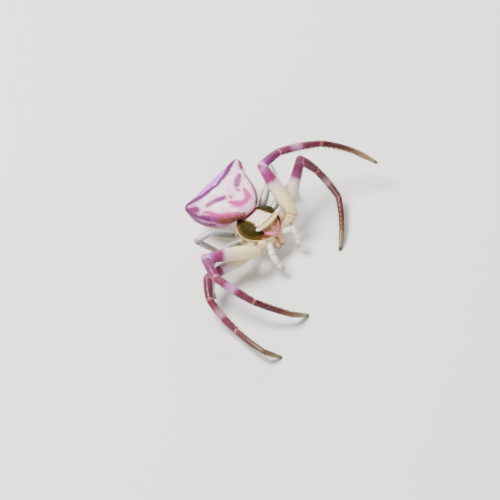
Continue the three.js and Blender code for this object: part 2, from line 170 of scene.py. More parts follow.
class Bench:
    """Small steps of modelling that every piece uses."""

    @staticmethod
    def clear() -> None:
        """Deselects everything, outside edit mode."""
        if bpy.context.object and bpy.context.object.mode != "OBJECT":
            bpy.ops.object.mode_set(mode="OBJECT")
        for obj in list(bpy.context.selected_objects):
            obj.select_set(False)

    @staticmethod
    def activate(obj: Object) -> None:
        """Selects one object alone and makes it active."""
        Bench.clear()
        bpy.context.view_layer.objects.active = obj
        obj.select_set(True)

    @staticmethod
    def edit(obj: Object) -> None:
        """Opens a mesh in edit mode with all of it selected."""
        Bench.activate(obj)
        bpy.ops.object.mode_set(mode="EDIT")
        bpy.ops.mesh.select_all(action="SELECT")

    @staticmethod
    def disc(name: str, sides: int, radius: float) -> Object:
        """Adds a flat filled ring round the origin.

        Args:
            name: what it is called.
            sides: how many points it has.
            radius: its radius.

        Returns:
            The disc.
        """
        Bench.clear()
        bpy.ops.mesh.primitive_circle_add(vertices=sides, radius=radius, fill_type="NGON", location=(0, 0, 0))
        bpy.context.object.name = bpy.context.object.data.name = name
        return bpy.context.object

    @staticmethod
    def add(name: str, data: ID) -> Object:
        """Sets a mesh, lamp or camera in the scene."""
        obj = bpy.data.objects.new(name, data)
        bpy.context.scene.collection.objects.link(obj)
        return obj

    @staticmethod
    def dress(obj: Object, *finishes: Cuticle | Hard) -> None:
        """Gives an object its finishes, in the order of its material slots."""
        for finish in finishes:
            obj.data.materials.append(finish.material())

    @staticmethod
    def apply(obj: Object, kind: str, **settings: object) -> None:
        """Adds one modifier with its settings and applies it.

        Args:
            obj: the mesh object.
            kind: the modifier's type.
            settings: values of its properties.
        """
        Bench.activate(obj)
        modifier = obj.modifiers.new(kind.title(), kind)
        for name, value in settings.items():
            setattr(modifier, name, value)
        bpy.ops.object.modifier_apply(modifier=modifier.name)

    @staticmethod
    def join(objects: list[Object], name: str) -> Object:
        """Joins mesh objects into the first one.

        Args:
            objects: the pieces, at least one.
            name: what the joined piece is called.

        Returns:
            The joined object.
        """
        Bench.activate(objects[0])
        for obj in objects[1:]:
            obj.select_set(True)
        if len(objects) > 1:
            bpy.ops.object.join()
        objects[0].name = objects[0].data.name = name
        return objects[0]

    @staticmethod
    def fuse(objects: list[Object], name: str, voxel: float) -> Object:
        """Fuses mesh objects into one smooth closed surface.

        Args:
            objects: the pieces.
            name: what the fused piece is called.
            voxel: the size of its faces in millimetres.

        Returns:
            The fused object.
        """
        obj = Bench.join(objects, name)
        Bench.apply(obj, "REMESH", mode="VOXEL", voxel_size=voxel)
        Bench.apply(obj, "SMOOTH", factor=0.5, iterations=4)
        return obj

    @staticmethod
    def copy(obj: Object) -> Object:
        """Copies an object with a mesh of its own."""
        return Bench.add(obj.name, obj.data.copy())

    @staticmethod
    def place(obj: Object, matrix: Matrix) -> Object:
        """Moves an object's mesh by a matrix and gives the object back."""
        obj.data.transform(matrix)
        return obj

    @staticmethod
    def points(obj: Object) -> Array:
        """Reads the mesh's points as rows."""
        return Bench.read(obj.data.vertices, "co", 3)

    @staticmethod
    def read(items: bpy_prop_collection, name: str, width: int = 1, kind: type = float) -> Array:
        """Reads one property of every item of a mesh.

        Args:
            items: its points, edges, corners or faces.
            name: the property.
            width: how many numbers it holds.
            kind: the kind of its numbers.

        Returns:
            A number for each item, or a row where there are several.
        """
        flat = np.empty(len(items) * width, kind)
        items.foreach_get(name, flat)
        return flat.reshape(-1, width) if width > 1 else flat

    @staticmethod
    def first_points(obj: Object) -> Array:
        """Gives the number of each face's first point."""
        corners = Bench.read(obj.data.loops, "vertex_index", kind=int)
        return corners[Bench.read(obj.data.polygons, "loop_start", kind=int)]

    @staticmethod
    def set_points(obj: Object, points: Array) -> None:
        """Writes the mesh's points."""
        obj.data.vertices.foreach_set("co", points.astype(np.float32).ravel())
        obj.data.update()

    @staticmethod
    def paint(obj: Object, name: str, values: Array) -> None:
        """Keeps one number for each point under a name that materials read."""
        layer = obj.data.attributes.new(name, "FLOAT", "POINT")
        layer.data.foreach_set("value", values.astype(np.float32))

    @staticmethod
    def relief(obj: Object, weights: Array, strength: float) -> None:
        """Raises a mesh along its normals by weights.

        Args:
            obj: the mesh object.
            weights: one from 0 to 1 for each point.
            strength: how far a weight of 1 raises it, in millimetres, or lowers it where negative.
        """
        group = obj.vertex_groups.new(name="relief")
        levels = np.round(np.clip(weights, 0.0, 1.0) * RELIEF_LEVELS).astype(int)
        for level in np.unique(levels[levels > 0]):
            group.add(np.flatnonzero(levels == level).tolist(), float(level) / RELIEF_LEVELS, "REPLACE")
        Bench.apply(obj, "DISPLACE", strength=strength, mid_level=0.0, vertex_group="relief")
        obj.vertex_groups.remove(obj.vertex_groups["relief"])


@dataclass
class Loft:
    """A ring extruded from station to station along +Z and scaled at each."""

    stations: list[tuple[float, float, float, float, float]]
    sides: int = 20
    squareness: float = 1.0

    @classmethod
    def turned(cls, profile: list[tuple], sides: int, high: float = 1.0, wide: float = 1.0) -> Loft:
        """Gives a loft round about +Z from rows of height and radius, each with its scale."""
        return cls([(0.0, 0.0, z * high, r * wide, r * wide) for z, r in profile], sides)

    def build(self, name: str) -> Object:
        """Extrudes the ring through its stations of x, y, z, half width and half depth, and closes both ends.

        Args:
            name: the object's name.

        Returns:
            A closed mesh object.
        """
        x, y, z, wide, deep = self.stations[0]
        obj = Bench.disc(name, self.sides, 1.0)
        ring = Bench.points(obj)
        angle = np.arctan2(ring[:, 1], ring[:, 0])
        ring[:, 0] = np.sign(np.cos(angle)) * np.abs(np.cos(angle)) ** self.squareness * wide + x
        ring[:, 1] = np.sign(np.sin(angle)) * np.abs(np.sin(angle)) ** self.squareness * deep + y
        ring[:, 2] = z
        Bench.set_points(obj, ring)
        Bench.edit(obj)
        for (x0, y0, z0, w0, d0), (x1, y1, z1, w1, d1) in zip(self.stations, self.stations[1:]):
            bpy.ops.mesh.extrude_region_move(
                TRANSFORM_OT_translate={"value": (x1 - x0, y1 - y0, z1 - z0), "orient_type": "GLOBAL"}
            )
            bpy.ops.transform.resize(
                value=(w1 / w0, d1 / d0, 1), orient_type="GLOBAL", center_override=(x1, y1, z1)
            )
        bpy.ops.mesh.select_all(action="SELECT")
        bpy.ops.mesh.normals_make_consistent(inside=False)
        bpy.ops.object.mode_set(mode="OBJECT")
        return obj


def hull(name: str, ends: tuple[float, float], rings: int, section: Callable, **loft: float) -> Object:
    """Lofts a rounded body from front to rear, with its rings closer together towards both ends.

    Args:
        name: the object's name.
        ends: its foremost and rearmost y.
        rings: how many lengths it has.
        section: gives the height of its middle, its half width and depth and how blunt it is, by share of y.
        loft: the loft's sides and squareness.

    Returns:
        A closed mesh object in its place.
    """
    rows = []
    for i in range(rings + 1):
        turn = math.pi * i / rings
        share = (1 - math.cos(turn)) / 2
        middle, wide, deep, blunt = section(share)
        rounding = max(math.sin(turn), 100 * TINY) ** blunt
        rows.append((0.0, -middle, ends[0] + share * (ends[1] - ends[0]), wide * rounding, deep * rounding))
    upright = Matrix(((1, 0, 0), (0, 0, -1), (0, 1, 0))).transposed().to_4x4()
    return Bench.place(Loft(rows, **loft).build(name), upright)


@dataclass(frozen=True)
class Limb:
    """One turned length of a limb: where it runs, how thick it is and what it belongs to."""

    start: Vector
    end: Vector
    radii: Place
    belly_at: float
    bow: float
    outer: Vector
    region: Region
    order: int = 0
    reach_past: float = 0.09

    def frame(self) -> Matrix:
        """Gives the matrix that carries +Z along the limb and +X towards its outer side.

        Returns:
            The limb's frame in the body's.
        """
        z = (self.end - self.start).normalized()
        x = (self.outer - z * self.outer.dot(z)).normalized()
        y = z.cross(x)
        return Matrix.Translation(self.start) @ Matrix((x, y, z)).transposed().to_4x4()

    def length(self) -> float:
        """Gives the distance from joint to joint."""
        return (self.end - self.start).length

    def centre(self, share: float | Array) -> float | Array:
        """Gives how far the limb bows outwards at shares of its length."""
        return self.bow * np.sin(share * math.pi)

    def radius_at(self, share: Array) -> Array:
        """Gives the limb's radius at shares of its length.

        Args:
            share: how far along, from 0 to 1.

        Returns:
            The radius at each.
        """
        first, belly, last = self.radii
        past = share - self.belly_at
        near = past < 0
        away = np.where(near, -past / self.belly_at, past / (1 - self.belly_at))
        edge = np.where(near, first, last)
        return edge + (belly - edge) * np.cos(np.clip(away, 0, 1) * math.pi / 2)

    def build(self, steps: int = 8, squareness: float = 1.0) -> Object:
        """Models the limb with a round end past each joint and sets it in its place.

        Args:
            steps: how many lengths it has between its joints.
            squareness: the section's corners, 1 for round and more for an edge on top.

        Returns:
            A closed mesh object.
        """
        first, _, last = self.radii
        ends = [(math.sin(bend), math.cos(bend)) for bend in map(math.radians, (30, 60, 86))]
        stations = [(0.0, -first * out, first * wide) for out, wide in reversed(ends)]
        for share in (i / steps for i in range(steps + 1)):
            stations.append((self.centre(share), share * self.length(), self.radius_at(np.array(share))))
        stations += [(0.0, self.length() + last * out, last * wide) for out, wide in ends]
        rows = [(x, 0.0, z, float(r) * INSIDE, float(r) * INSIDE) for x, z, r in stations]
        return Bench.place(Loft(rows, squareness=squareness).build("limb"), self.frame())

    def measure(self, points: Array) -> tuple[Array, ...]:
        """Measures points against the limb.

        Args:
            points: rows of x, y and z in millimetres.

        Returns:
            The distance outside its surface, the share along it, how far up the point sits on it (-1 to 1),
            the share of a turn around it, and the share along it that runs on a little past both joints.
        """
        local = points - np.array(self.start)
        matrix = np.array(self.frame().to_3x3())
        along = local @ matrix[:, 2]
        share = np.clip(along / self.length(), 0.0, 1.0)
        across = np.stack([local @ matrix[:, 0] - self.centre(share), local @ matrix[:, 1]], -1)
        past = np.clip(along / self.length(), -self.reach_past, 1 + self.reach_past)
        beyond = along - share * self.length()
        distance = np.sqrt((across**2).sum(-1) + beyond**2) - self.radius_at(share)
        up = matrix[2, 0] * across[:, 0] + matrix[2, 1] * across[:, 1]
        height = up / np.maximum(np.hypot(across[:, 0], across[:, 1]), TINY)
        turn = np.arctan2(across[:, 1], across[:, 0]) / (2 * math.pi) + 0.5
        return distance, share, height, turn, past


@dataclass(frozen=True)
class LegPair:
    """Sizes shared by the left and right leg of a pair, from trochanter to tarsus."""

    joint: Place
    root: Place
    coxa: float
    lengths: Row
    ends: Row
    bellies: Row
    bow: float


LEG_PAIRS = (
    LegPair(
        (1.55, -0.75, 1.95), (0.62, -0.10, 1.62), 0.38, (0.80, 4.00, 1.80, 3.20, 2.90, 1.75),
        (0.34, 0.42, 0.35, 0.29, 0.25, 0.22, 0.12), (0.42, 0.53, 0.345, 0.31, 0.25, 0.225), 1.0,
    ),
    LegPair(
        (1.87, 0.19, 1.54), (0.66, 0.36, 1.50), 0.34, (0.78, 3.75, 1.70, 2.97, 2.72, 1.60),
        (0.30, 0.36, 0.34, 0.27, 0.24, 0.21, 0.12), (0.36, 0.45, 0.34, 0.29, 0.24, 0.215), 1.0,
    ),
    LegPair(
        (1.65, 1.02, 1.50), (0.62, 0.80, 1.48), 0.27, (0.35, 1.80, 0.90, 1.30, 0.95, 0.75),
        (0.23, 0.25, 0.24, 0.225, 0.21, 0.19, 0.11), (0.26, 0.30, 0.25, 0.24, 0.215, 0.195), 0.4,
    ),
    LegPair(
        (1.33, 1.68, 1.50), (0.48, 1.12, 1.48), 0.27, (0.35, 2.10, 1.05, 1.60, 1.15, 0.85),
        (0.23, 0.26, 0.245, 0.225, 0.21, 0.19, 0.11), (0.26, 0.32, 0.25, 0.24, 0.215, 0.195), 0.4,
    ),
)
# How far each segment from trochanter to tarsus bows, and where along it it is thickest
BOWS = (0.0, 0.08, 0.03, 0.10, 0.10, 0.03)
BELLY_AT = (0.60, 0.32, 0.45, 0.32, 0.14, 0.20)
# The height of a tip that stands, the least bend that turns a segment, and how much a root is drawn in
TIP_HEIGHT = 0.08
STRAIGHT = 0.1
FUSED = 0.92
# Azimuth and elevation of each segment in degrees. A last azimuth alone comes down to the floor.
POSES = {
    (0, Side.LEFT): ((97, 46), (172, 37), (86, 0), (56, -3), (47, -27), (21, -22)),
    (1, Side.LEFT): ((75, 27), (108, 49), (42, -46), (24, -55), (-48, -10), (-57,)),
    (2, Side.LEFT): ((98, 18), (98, 18), (98, -30), (100, -62), (125, -12), (140,)),
    (3, Side.LEFT): ((112, 20), (112, 20), (120, -15), (125, -50), (130, -22), (135,)),
    (0, Side.RIGHT): ((84, 26), (121, 13), (28, -3), (-7, -13), (-36, -26), (-69,)),
    (1, Side.RIGHT): ((73, -6), (98, 10), (46, -11), (10, -17), (8, 4), (-53,)),
    (2, Side.RIGHT): ((98, 18), (98, 18), (96, -30), (85, -62), (50, -12), (20,)),
    (3, Side.RIGHT): ((119, 28), (119, 28), (116, -20), (-60, -50), (-20, -25), (0,)),
}


@dataclass
class Leg:
    """One leg, from its coxa to its tarsus."""

    row: int
    side: Side
    limbs: list[Limb] = field(default_factory=list)

    def __post_init__(self) -> None:
        """Works out where each segment runs."""
        pair = LEG_PAIRS[self.row]
        joint, root = self.side.mirror(pair.joint), self.side.mirror(pair.root)
        region = (Region.FRONT_LEG, Region.SECOND_LEG, Region.HIND_LEG, Region.HIND_LEG)[self.row]
        radii = (pair.coxa * 0.9, pair.coxa, pair.ends[0])
        self.limbs.append(Limb(root, joint, radii, 0.5, 0.0, UP, Region.BREAST, -1))
        ways = []
        start = joint
        for pose, length in zip(POSES[(self.row, self.side)], pair.lengths):
            drop = math.degrees(math.asin((TIP_HEIGHT - start.z) / length)) if len(pose) == 1 else pose[1]
            ways.append(self._way(pose[0], drop))
            start = start + ways[-1] * length
        start = joint
        before = (joint - root).normalized()
        for i, (way, length) in enumerate(zip(ways, pair.lengths)):
            after = ways[min(i + 1, len(ways) - 1)]
            bend = before - after
            last = pair.ends[i + 1] * (FUSED if i == 0 else 1.0)
            self.limbs.append(
                Limb(
                    start, start + way * length, (pair.ends[i], pair.bellies[i], last), BELLY_AT[i],
                    pair.bow * BOWS[i], bend if bend.length > STRAIGHT else UP, region, i,
                )
            )
            start = start + way * length
            before = way

    def _way(self, azimuth: float, elevation: float) -> Vector:
        """Turns an azimuth and elevation in degrees into a direction on this side."""
        a, e = math.radians(azimuth), math.radians(elevation)
        return self.side.mirror((math.sin(a) * math.cos(e), -math.cos(a) * math.cos(e), math.sin(e)))


@dataclass
class Mouthparts:
    """Chelicerae and palps as limbs of the skin."""

    base: Place = (0.32, -0.50, 2.05)
    tip: Place = (0.25, -1.24, 1.28)
    radii: Place = (0.33, 0.31, 0.20)
    palp_radii: Row = (0.20, 0.21, 0.22, 0.21, 0.12)
    palps: dict = field(default_factory=lambda: {
        Side.LEFT: ((0.52, -0.62, 1.62), (1.08, -1.42, 2.22), (1.14, -1.80, 1.90), (1.06, -2.02, 1.52),
                    (0.90, -2.16, 1.00)),
        Side.RIGHT: ((-0.52, -0.62, 1.62), (-1.30, -1.36, 1.98), (-1.58, -1.70, 1.86), (-1.60, -2.16, 1.42),
                     (-1.42, -2.58, 0.84)),
    })

    def limbs(self) -> list[Limb]:
        """Lists both chelicerae and the four lengths of each palp.

        Returns:
            Their limbs, side by side.
        """
        found = []
        for side in Side:
            base, tip = side.mirror(self.base), side.mirror(self.tip)
            found.append(Limb(base, tip, self.radii, 0.35, 0.0, UP, Region.CHELICERA))
            bends = [Vector(b) for b in self.palps[side]]
            for i, (start, end) in enumerate(zip(bends, bends[1:])):
                first, last = self.palp_radii[i], self.palp_radii[i + 1]
                radii = (first, max(first, last) * 1.04, last * FUSED)
                found.append(Limb(start, end, radii, 0.45, 0.0, UP, Region.PALP, i))
        return found


@dataclass
class Abdomen:
    """The blunt triangular abdomen with a hump at each rear corner."""

    ends: tuple[float, float] = (1.45, 5.48)
    bluntness: tuple[float, float] = (0.55, 0.35)
    stations: list[Row] = field(default_factory=lambda: [
        (0.00, 1.45, 3.12, 0.45), (0.13, 1.68, 3.00, 0.68), (0.22, 1.92, 2.79, 0.92),
        (0.31, 2.14, 2.59, 1.13), (0.49, 2.43, 2.47, 1.26), (0.70, 2.72, 2.44, 1.33),
        (0.85, 2.94, 2.49, 1.29), (0.93, 2.90, 2.55, 1.20), (1.00, 2.60, 2.60, 1.00),
    ])
    hump_base: Place = (2.45, 5.02, 3.20)
    hump_pushes: dict[Side, Row] = field(default_factory=lambda: {
        Side.LEFT: (0.74, 0.16, 0.43, 0.60), Side.RIGHT: (-0.63, 0.24, 0.42, 0.50),
    })
    rings: int = 30

    def build(self) -> Object:
        """Extrudes the body from front to rear and pushes its humps out.

        Returns:
            A closed mesh object.
        """
        obj = hull("abdomen", self.ends, self.rings, self._section, sides=64, squareness=0.80)
        points = Bench.points(obj)
        for side, (*push, spread) in self.hump_pushes.items():
            base = np.array(self.hump_base) * (side.value, 1, 1)
            reach = np.exp(-((np.linalg.norm(points - base, axis=1) / spread) ** 2) / 2)
            points += reach[:, None] * np.array(push)
        Bench.set_points(obj, points)
        return obj

    def _section(self, share: float) -> Row:
        """Gives the hull's section at a share of its length."""
        wide, middle, deep = along_stations(self.stations, share)
        return middle, wide, deep, self.bluntness[0] + (self.bluntness[1] - self.bluntness[0]) * share


@dataclass
class Underside:
    """Breastplate, lip and mouth plates, the waist and the mound that the spinnerets stand on."""

    domes: tuple = (
        ((0, 0.62, 1.62), (1.02, 1.30, 0.58)),
        ((0, -0.42, 1.40), (0.26, 0.34, 0.24)),
        ((0.34, -0.48, 1.46), (0.24, 0.42, 0.32)),
        ((-0.34, -0.48, 1.46), (0.24, 0.42, 0.32)),
    )
    spinneret_root: tuple = ((0, 5.06, 1.30), (0.30, 0.36, 0.34))
    waist: tuple = ((0, 2.00, 1.66), (0, 3.10, 1.80))
    waist_radius: float = 0.27

    def dome(self, centre: tuple, radii: tuple) -> Object:
        """Models one rounded plate, flatter at its rim than a ball.

        Args:
            centre: its middle.
            radii: its half width, half length and half height.

        Returns:
            A closed mesh object.
        """
        turns = [math.radians(4 + 172 * i / 14) for i in range(15)]
        profile = [(-math.cos(turn), math.sin(turn) ** 0.9) for turn in turns]
        obj = Loft.turned(profile, sides=28).build("dome")
        return Bench.place(obj, Matrix.Translation(centre) @ Matrix.Diagonal((*radii, 1)))

    def plates(self) -> list[Object]:
        """Models the plates under the head and thorax."""
        return [self.dome(centre, radii) for centre, radii in self.domes]

    def limbs(self) -> list[Limb]:
        """Gives the waist."""
        radii = (self.waist_radius,) * 3
        return [Limb(*(Vector(end) for end in self.waist), radii, 0.45, 0.0, UP, Region.WAIST)]


@dataclass(frozen=True)
class Stroke:
    """A soft line of pigment: rows of x, y, z and half width, all in millimetres, and how strong it is."""

    rows: tuple[tuple[float, float, float, float], ...]
    strength: float = 1.0

    def over(self, points: Array) -> Array:
        """Gives the stroke's strength at points.

        Args:
            points: rows of x, y and z.

        Returns:
            A strength for each, most on the line and none well away from it.
        """
        rows = np.array(self.rows, float)
        found = np.zeros(len(points))
        for start, end in zip(rows, rows[1:]):
            way = (end - start)[:3]
            share = np.clip(((points - start[:3]) @ way) / (way @ way), 0, 1)
            away = np.linalg.norm(points - start[:3] - share[:, None] * way, axis=1)
            found = np.maximum(found, bell(away, start[3] + share * (end[3] - start[3])))
        return found * self.strength

    @staticmethod
    def lay(strokes: tuple[Stroke, ...], points: Array) -> Array:
        """Gives the strongest of several strokes at points."""
        return np.maximum.reduce([stroke.over(points) for stroke in strokes])


# The painted lines of the shield, folded onto its left half
SHIELD_STROKES = {
    "ridge": (
        Stroke(((0, -0.18, 3.08, 0.20), (0.5, -0.17, 3.10, 0.20), (0.9, -0.12, 3.13, 0.18),
                (1.1, -0.06, 3.16, 0.1))),
    ),
    "tan_line": (
        Stroke(((0, -0.03, 3.12, 0.07), (0.4, -0.02, 3.13, 0.08), (0.8, -0.01, 3.17, 0.07),
                (1.1, 0.02, 3.18, 0.03))),
    ),
    "seam": (
        Stroke(((0.10, -0.42, 2.88, 0.03), (0.50, -0.36, 2.92, 0.05), (0.90, -0.24, 2.99, 0.07),
                (1.20, -0.15, 3.07, 0.05))),
    ),
    "pink": (
        Stroke(((0, -0.90, 2.40, 0.16), (0.34, -0.76, 2.45, 0.12), (0.56, -0.57, 2.56, 0.09),
                (0.78, -0.36, 2.68, 0.04))),
        Stroke(((0, -0.92, 2.34, 0.13), (0, -0.93, 2.20, 0.07)), 0.6),
    ),
    "rust": (
        Stroke(((0.30, -0.52, 2.70, 0.07), (0.52, -0.42, 2.74, 0.09), (0.80, -0.32, 2.80, 0.06)), 0.8),
        Stroke(((0.62, -0.66, 2.36, 0.10), (0.84, -0.48, 2.42, 0.15), (1.05, -0.25, 2.48, 0.13),
                (1.25, -0.05, 2.46, 0.08))),
    ),
    # The horn tips: pale cuticle, brightened to near white, partly a painted highlight
    "horn": (
        Stroke(((0.92, -0.16, 3.06, 0.09), (1.14, -0.08, 3.12, 0.17), (1.37, -0.03, 3.19, 0.25))),
    ),
}


@dataclass
class Shield:
    """The carapace: a domed shield with the eye ridge across its front and a horn at each end."""

    ends: tuple[float, float] = (CARAPACE_FRONT, 2.38)
    rim: float = 1.98
    bluntness: float = 0.5
    stations: list[Row] = field(default_factory=lambda: [
        (0.00, 1.10, 0.70), (0.11, 1.34, 0.92), (0.25, 1.50, 1.10), (0.38, 1.65, 1.12), (0.50, 1.72, 1.08),
        (0.69, 1.62, 0.84), (0.84, 1.40, 0.46), (1.00, 1.00, 0.16),
    ])
    crest: tuple[Row, ...] = (
        (0.00, -0.08, 2.80, 0.32), (0.45, -0.07, 2.82, 0.32), (0.70, -0.05, 2.88, 0.29),
        (0.90, -0.04, 2.97, 0.23), (1.10, -0.03, 3.06, 0.15), (1.26, -0.03, 3.14, 0.075),
        (1.37, -0.03, 3.19, 0.02),
    )
    crest_squareness: float = 1.2
    face_push: float = 0.14
    groove: float = 0.05
    groove_depth: float = 0.035
    thorax_middle: float = 1.2
    band_lean: float = -0.12

    def dome(self) -> Object:
        """Extrudes the shield from the face to the rear and cuts it level along its rim.

        Returns:
            A closed mesh object.
        """
        obj = hull("dome", self.ends, 24, self._section, sides=56, squareness=0.78)
        Bench.edit(obj)
        bpy.ops.mesh.bisect(
            plane_co=(0, 0, self.rim - 0.05), plane_no=(0, 0, 1), use_fill=True, clear_inner=True
        )
        bpy.ops.object.mode_set(mode="OBJECT")
        return obj

    def _section(self, share: float) -> Row:
        """Gives the hull's section at a share of its length."""
        return self.rim, *along_stations(self.stations, share), self.bluntness

    def ridge(self) -> Object:
        """Models the crest from the point of one horn to the other.

        Returns:
            A closed mesh object.
        """
        half = [(y, z, x, r, r) for x, y, z, r in self.crest]
        rows = [(y, z, -x, w, d) for y, z, x, w, d in reversed(half[1:])] + half
        turned = Matrix(((0, 0, 1), (1, 0, 0), (0, 1, 0))).to_4x4()
        return Bench.place(Loft(rows, sides=24, squareness=self.crest_squareness).build("crest"), turned)

    def build(self, over: BVHTree) -> Object:
        """Joins the shield, ridge and horns into one smooth shell and paints its markings, painted shade and
        painted highlight.

        Args:
            over: a search tree over the abdomen, which hangs over the shield's rear and sets the painted
                shade beneath it.

        Returns:
            The shield.
        """
        obj = Bench.fuse([self.dome(), self.ridge()], "carapace_shield", SHIELD_VOXEL)
        points = Bench.points(obj)
        keel = bell(points[:, 0], 0.42) * smoothstep(-0.25, -0.70, points[:, 1])
        points[:, 1] -= self.face_push * keel * smoothstep(self.rim, 2.2, points[:, 2])
        Bench.set_points(obj, points)
        x, y, z = points.T
        fovea = bell(x, self.groove) * smoothstep(0.95, 1.10, y) * smoothstep(1.50, 1.35, y)
        grooves = np.maximum(fovea, self._rays(x, y) * 0.45) * smoothstep(2.1, 2.3, z)
        Bench.relief(obj, grooves, -self.groove_depth)
        self.paint(obj, points, over)
        return obj

    @staticmethod
    def _distance(obj: Object, tree: BVHTree) -> Array:
        """Gives how far each point of a mesh is from another surface that is within a millimetre."""
        found = [tree.find_nearest(vertex.co, 1.0)[3] for vertex in obj.data.vertices]
        return np.array([FAR if reach is None else reach for reach in found])

    def _rays(self, x: Array, y: Array) -> Array:
        """Gives the shallow grooves that fan out from the middle of the thorax.

        Args:
            x: places to the left.
            y: places to the rear.

        Returns:
            How deep each place lies in a groove, from 0 to 1.
        """
        turn = np.arctan2(np.abs(x), y - self.thorax_middle)
        reach = np.hypot(x, y - self.thorax_middle)
        lines = sum(bell((turn - math.radians(angle)) * reach, self.groove) for angle in (48, 82, 118, 152))
        return np.clip(lines, 0, 1) * smoothstep(0.35, 0.6, reach) * smoothstep(1.5, 1.2, reach)

    def paint(self, obj: Object, points: Array, over: BVHTree) -> None:
        """Keeps the markings of the shield, its painted shade and its painted highlight, as numbers from 0 to
        1 on its points.

        Args:
            obj: the shield.
            points: where its points were before the grooves.
            over: a search tree over the abdomen, for the painted shade where it hangs over the shield.
        """
        x, y, z = points.T
        across = np.abs(x)
        folded = np.stack([across, y, z], -1)
        shifted = np.abs(x - self.band_lean * smoothstep(1.9, 0.9, y) * smoothstep(0.0, 0.3, y))
        half_band = 0.42 + 0.18 * smoothstep(2.2, 1.7, y) + 0.15 * smoothstep(0.60, 0.30, y)
        behind = smoothstep(0.00, 0.14, y)
        masks = {name: Stroke.lay(strokes, folded) for name, strokes in SHIELD_STROKES.items()}
        masks["band"] = smoothstep(half_band + 0.04, half_band - 0.06, shifted) * behind
        masks["band_edge"] = bell(shifted - half_band - 0.02, 0.11) * smoothstep(0.15, 0.4, y)
        # Painted shade: greenish white over the front of the band, in the hollow behind the crest
        masks["valley"] = smoothstep(0.7, 0.2, y) * masks["band"]
        brow = smoothstep(-0.22, -0.32, y) * smoothstep(2.36, 2.48, z - 0.33 * across)
        masks["brow"] = brow * (across < 1.05)
        masks["muzzle"] = smoothstep(2.46, 2.34, z - 0.30 * across) * smoothstep(-0.20, -0.55, y)
        rim_height = self.rim + 0.16 + 0.06 * smoothstep(0.3, -0.5, y)
        masks["rim"] = smoothstep(rim_height + 0.05, rim_height - 0.02, z)
        masks["amber"] = smoothstep(2.62, 2.26, z)
        # Painted shade: dark brown where the abdomen hangs close over the shield, a shadowed crevice
        masks["crevice"] = smoothstep(0.24, 0.08, self._distance(obj, over))
        for name, mask in masks.items():
            Bench.paint(obj, name, np.clip(mask, 0, 1))


# The painted lines of the abdomen, folded onto its left half
ABDOMEN_STROKES = {
    "purple": (
        Stroke(((0, 4.58, 3.69, 0.12), (0.45, 4.66, 3.67, 0.14), (1.0, 4.74, 3.62, 0.15),
                (1.5, 4.83, 3.58, 0.18), (2.0, 5.00, 3.55, 0.22), (2.6, 5.17, 3.50, 0.23),
                (2.85, 5.22, 3.44, 0.20), (3.04, 5.24, 3.40, 0.14))),
        Stroke(((2.93, 5.04, 3.43, 0.15), (2.92, 4.82, 3.21, 0.18), (2.81, 4.55, 2.97, 0.18),
                (2.68, 4.20, 2.88, 0.15), (2.54, 3.85, 2.84, 0.15), (2.39, 3.42, 2.84, 0.15)), 0.9),
        Stroke(((2.88, 4.80, 2.92, 0.12), (2.80, 4.56, 2.73, 0.19), (2.69, 4.29, 2.38, 0.21),
                (2.59, 3.91, 2.29, 0.22), (2.45, 3.48, 2.30, 0.20), (2.28, 3.06, 2.45, 0.15)), 0.95),
    ),
    "mauve": (
        Stroke(((0.78, 3.43, 3.69, 0.22), (1.10, 3.66, 3.66, 0.23), (1.5, 3.86, 3.60, 0.20),
                (1.85, 4.0, 3.50, 0.16))),
        Stroke(((2.80, 4.78, 3.40, 0.26), (2.54, 4.42, 3.36, 0.26)), 0.9),
    ),
    "wine": (
        Stroke(((2.52, 3.92, 3.00, 0.10), (2.28, 3.24, 2.98, 0.25), (2.12, 2.90, 2.97, 0.31),
                (1.94, 2.59, 2.97, 0.30), (1.70, 2.35, 3.02, 0.20))),
        Stroke(((1.22, 4.71, 3.60, 0.19), (0.84, 4.68, 3.64, 0.15)), 0.75),
        Stroke(((0.88, 3.40, 3.68, 0.14), (1.08, 3.58, 3.66, 0.12)), 0.7),
    ),
    "pink": (
        Stroke(((0, 2.08, 3.57, 0.22), (0.22, 2.11, 3.58, 0.26), (0.47, 2.22, 3.60, 0.34),
                (0.66, 2.46, 3.62, 0.31), (0.72, 2.66, 3.64, 0.22), (0.86, 2.92, 3.63, 0.12))),
        Stroke(((0.45, 2.98, 3.70, 0.14), (0.40, 3.12, 3.71, 0.19), (0.46, 3.26, 3.71, 0.10)), 0.8),
        Stroke(((0.80, 3.38, 3.69, 0.15), (0.52, 3.16, 3.71, 0.12), (0.62, 2.90, 3.68, 0.10)), 0.5),
        Stroke(((0.70, 3.40, 3.69, 0.33), (1.20, 3.74, 3.65, 0.33), (1.75, 3.97, 3.52, 0.25)), 0.42),
        Stroke(((2.28, 3.95, 3.27, 0.09), (2.14, 3.62, 3.28, 0.14), (2.05, 3.23, 3.27, 0.16),
                (1.92, 2.87, 3.24, 0.19), (1.70, 2.60, 3.28, 0.22), (1.47, 2.32, 3.33, 0.19),
                (1.18, 2.00, 3.35, 0.15), (0.95, 1.82, 3.37, 0.11))),
        Stroke(((2.62, 4.62, 3.36, 0.45), (2.50, 4.35, 3.32, 0.35)), 0.45),
        Stroke(((2.60, 4.60, 2.10, 0.20), (2.48, 4.10, 1.98, 0.22), (2.30, 3.40, 2.02, 0.20),
                (2.10, 2.90, 2.22, 0.15)), 0.8),
    ),
    "rust": (
        Stroke(((2.02, 2.72, 2.88, 0.20), (1.85, 2.45, 2.92, 0.34), (1.58, 2.18, 2.95, 0.38),
                (1.30, 1.92, 2.96, 0.38), (1.02, 1.68, 3.00, 0.30), (0.70, 1.52, 3.05, 0.18))),
        Stroke(((1.56, 2.24, 3.18, 0.12), (1.34, 1.97, 3.20, 0.16), (0.96, 1.72, 3.28, 0.16),
                (0.60, 1.58, 3.28, 0.12)), 0.7),
    ),
}


